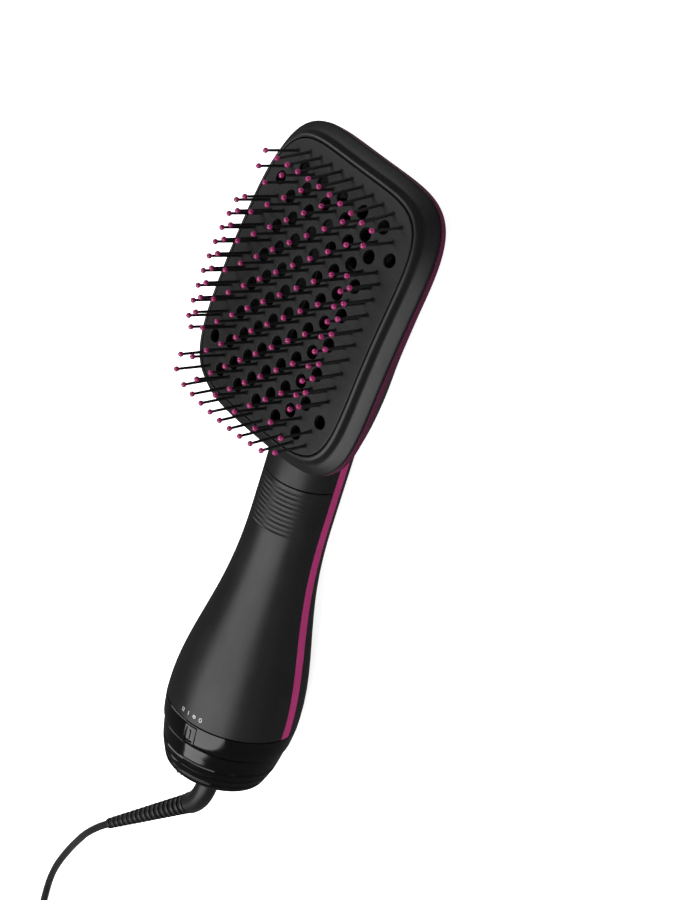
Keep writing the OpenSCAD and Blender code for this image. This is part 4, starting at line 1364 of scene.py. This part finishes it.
cadFinishes = {
    "satinBlack": ["handle_rear_shell"],
    "stripeRose": ["side_trim_left", "side_trim_right"],
    "innerBlack": ["air_baffle"],
    "ductGrey": ["motor_mount"],
    "fanRose": ["fan"],
    "switchBrown": ["switch_base"],
    "carrierIvory": ["contact_carrier"],
    "clampGrey": ["cord_clamp"],
    "screwSteel": ["head_screws", "handle_screw", "cap_screws"],
    "motorCan": ["motor_case"],
    "shaftSteel": ["motor_shaft"],
    "pinBrass": ["plug_pins"],
    "screenSteel": ["inlet_screen"],
    "thermostatTin": ["thermostat", "thermal_fuse"],
    "micaBoard": ["mica_tube", "heater_board_a", "heater_board_b"],
    "circuitBoard": ["rectifier_board"],
    "damperRubber": ["motor_damper"],
}
ownFinishes = {
    "satinBlack": [headFrame, handleFrontShell],
    "glossBlack": [selectorRing, endCap],
    "backBlack": [headRearCover],
    "trimRosePaintedShade": [headTrim],
    "platePlastic": [bristlePlate],
    "tipRose": [pinTips],
    "reliefRubber": [strainRelief],
    "leadRubber": [mainsLead],
    "plugRubber": [plugBody],
    "tieStrap": [coilTie],
    "heaterWire": [heatingWire],
    "printedWhite": [selectorMarks],
    "wireSleeve": leadWires,
}
for finish, names in cadFinishes.items():
    for name in names:
        dress(nodes[name], finishes[finish])
for finish, pieces in ownFinishes.items():
    for piece in pieces:
        dress(piece, finishes[finish])
print("materials made")


# floor and soft studio light
stageSettings = {
    "floorSize": 8,  # metres
    "floorLevel": -0.0002,
    "worldLight": 0.08,
    "floorGlow": 0.88,  # like a light table, which keeps the shadows pale
    "softbox": {"place": (-0.6, -0.35, 1.25), "size": (1.7, 1.9), "power": 39, "aim": (-0.6, -0.35, 0)},
    "tipLight": {"place": (0.78, 0.98, 0.86), "size": (0.9, 0.9), "power": 11, "aim": (0.14, 0, 0.05)},
    "strip": {"place": (-0.5, -1.7, 0.32), "size": (1.6, 0.3), "power": 0.6, "aim": (-0.5, 0, 0.05)},
}


def makeStage(settings):
    mesh = bpy.data.meshes.new("floor")
    made = bmesh.new()
    bmesh.ops.create_grid(made, x_segments=8, y_segments=8, size=settings["floorSize"] / 2)
    made.to_mesh(mesh)
    made.free()
    floor = bpy.data.objects.new("floor", mesh)
    bpy.context.scene.collection.objects.link(floor)
    floor.location = (0, 0, settings["floorLevel"])
    floor.data.materials.append(paleFloor(settings["floorGlow"]))
    floor.visible_glossy = False
    world = bpy.data.worlds.new("world")
    world.use_nodes = True
    background = world.node_tree.nodes["Background"]
    background.inputs["Color"].default_value = (1, 1, 1, 1)
    background.inputs["Strength"].default_value = settings["worldLight"]
    bpy.context.scene.world = world


def makeLight(name, place, size, power, aim):
    data = bpy.data.lights.new(name, "AREA")
    data.shape = "RECTANGLE"
    data.size, data.size_y = size
    data.energy = power
    light = bpy.data.objects.new(name, data)
    bpy.context.scene.collection.objects.link(light)
    light.location = place
    light.rotation_mode = "QUATERNION"
    light.rotation_quaternion = (Vector(aim) - Vector(place)).to_track_quat("-Z", "Y")


makeStage(stageSettings)
for name in ("softbox", "tipLight", "strip"):
    makeLight(name, **stageSettings[name])
bpy.context.scene.view_settings.view_transform = "Standard"
print("stage made")
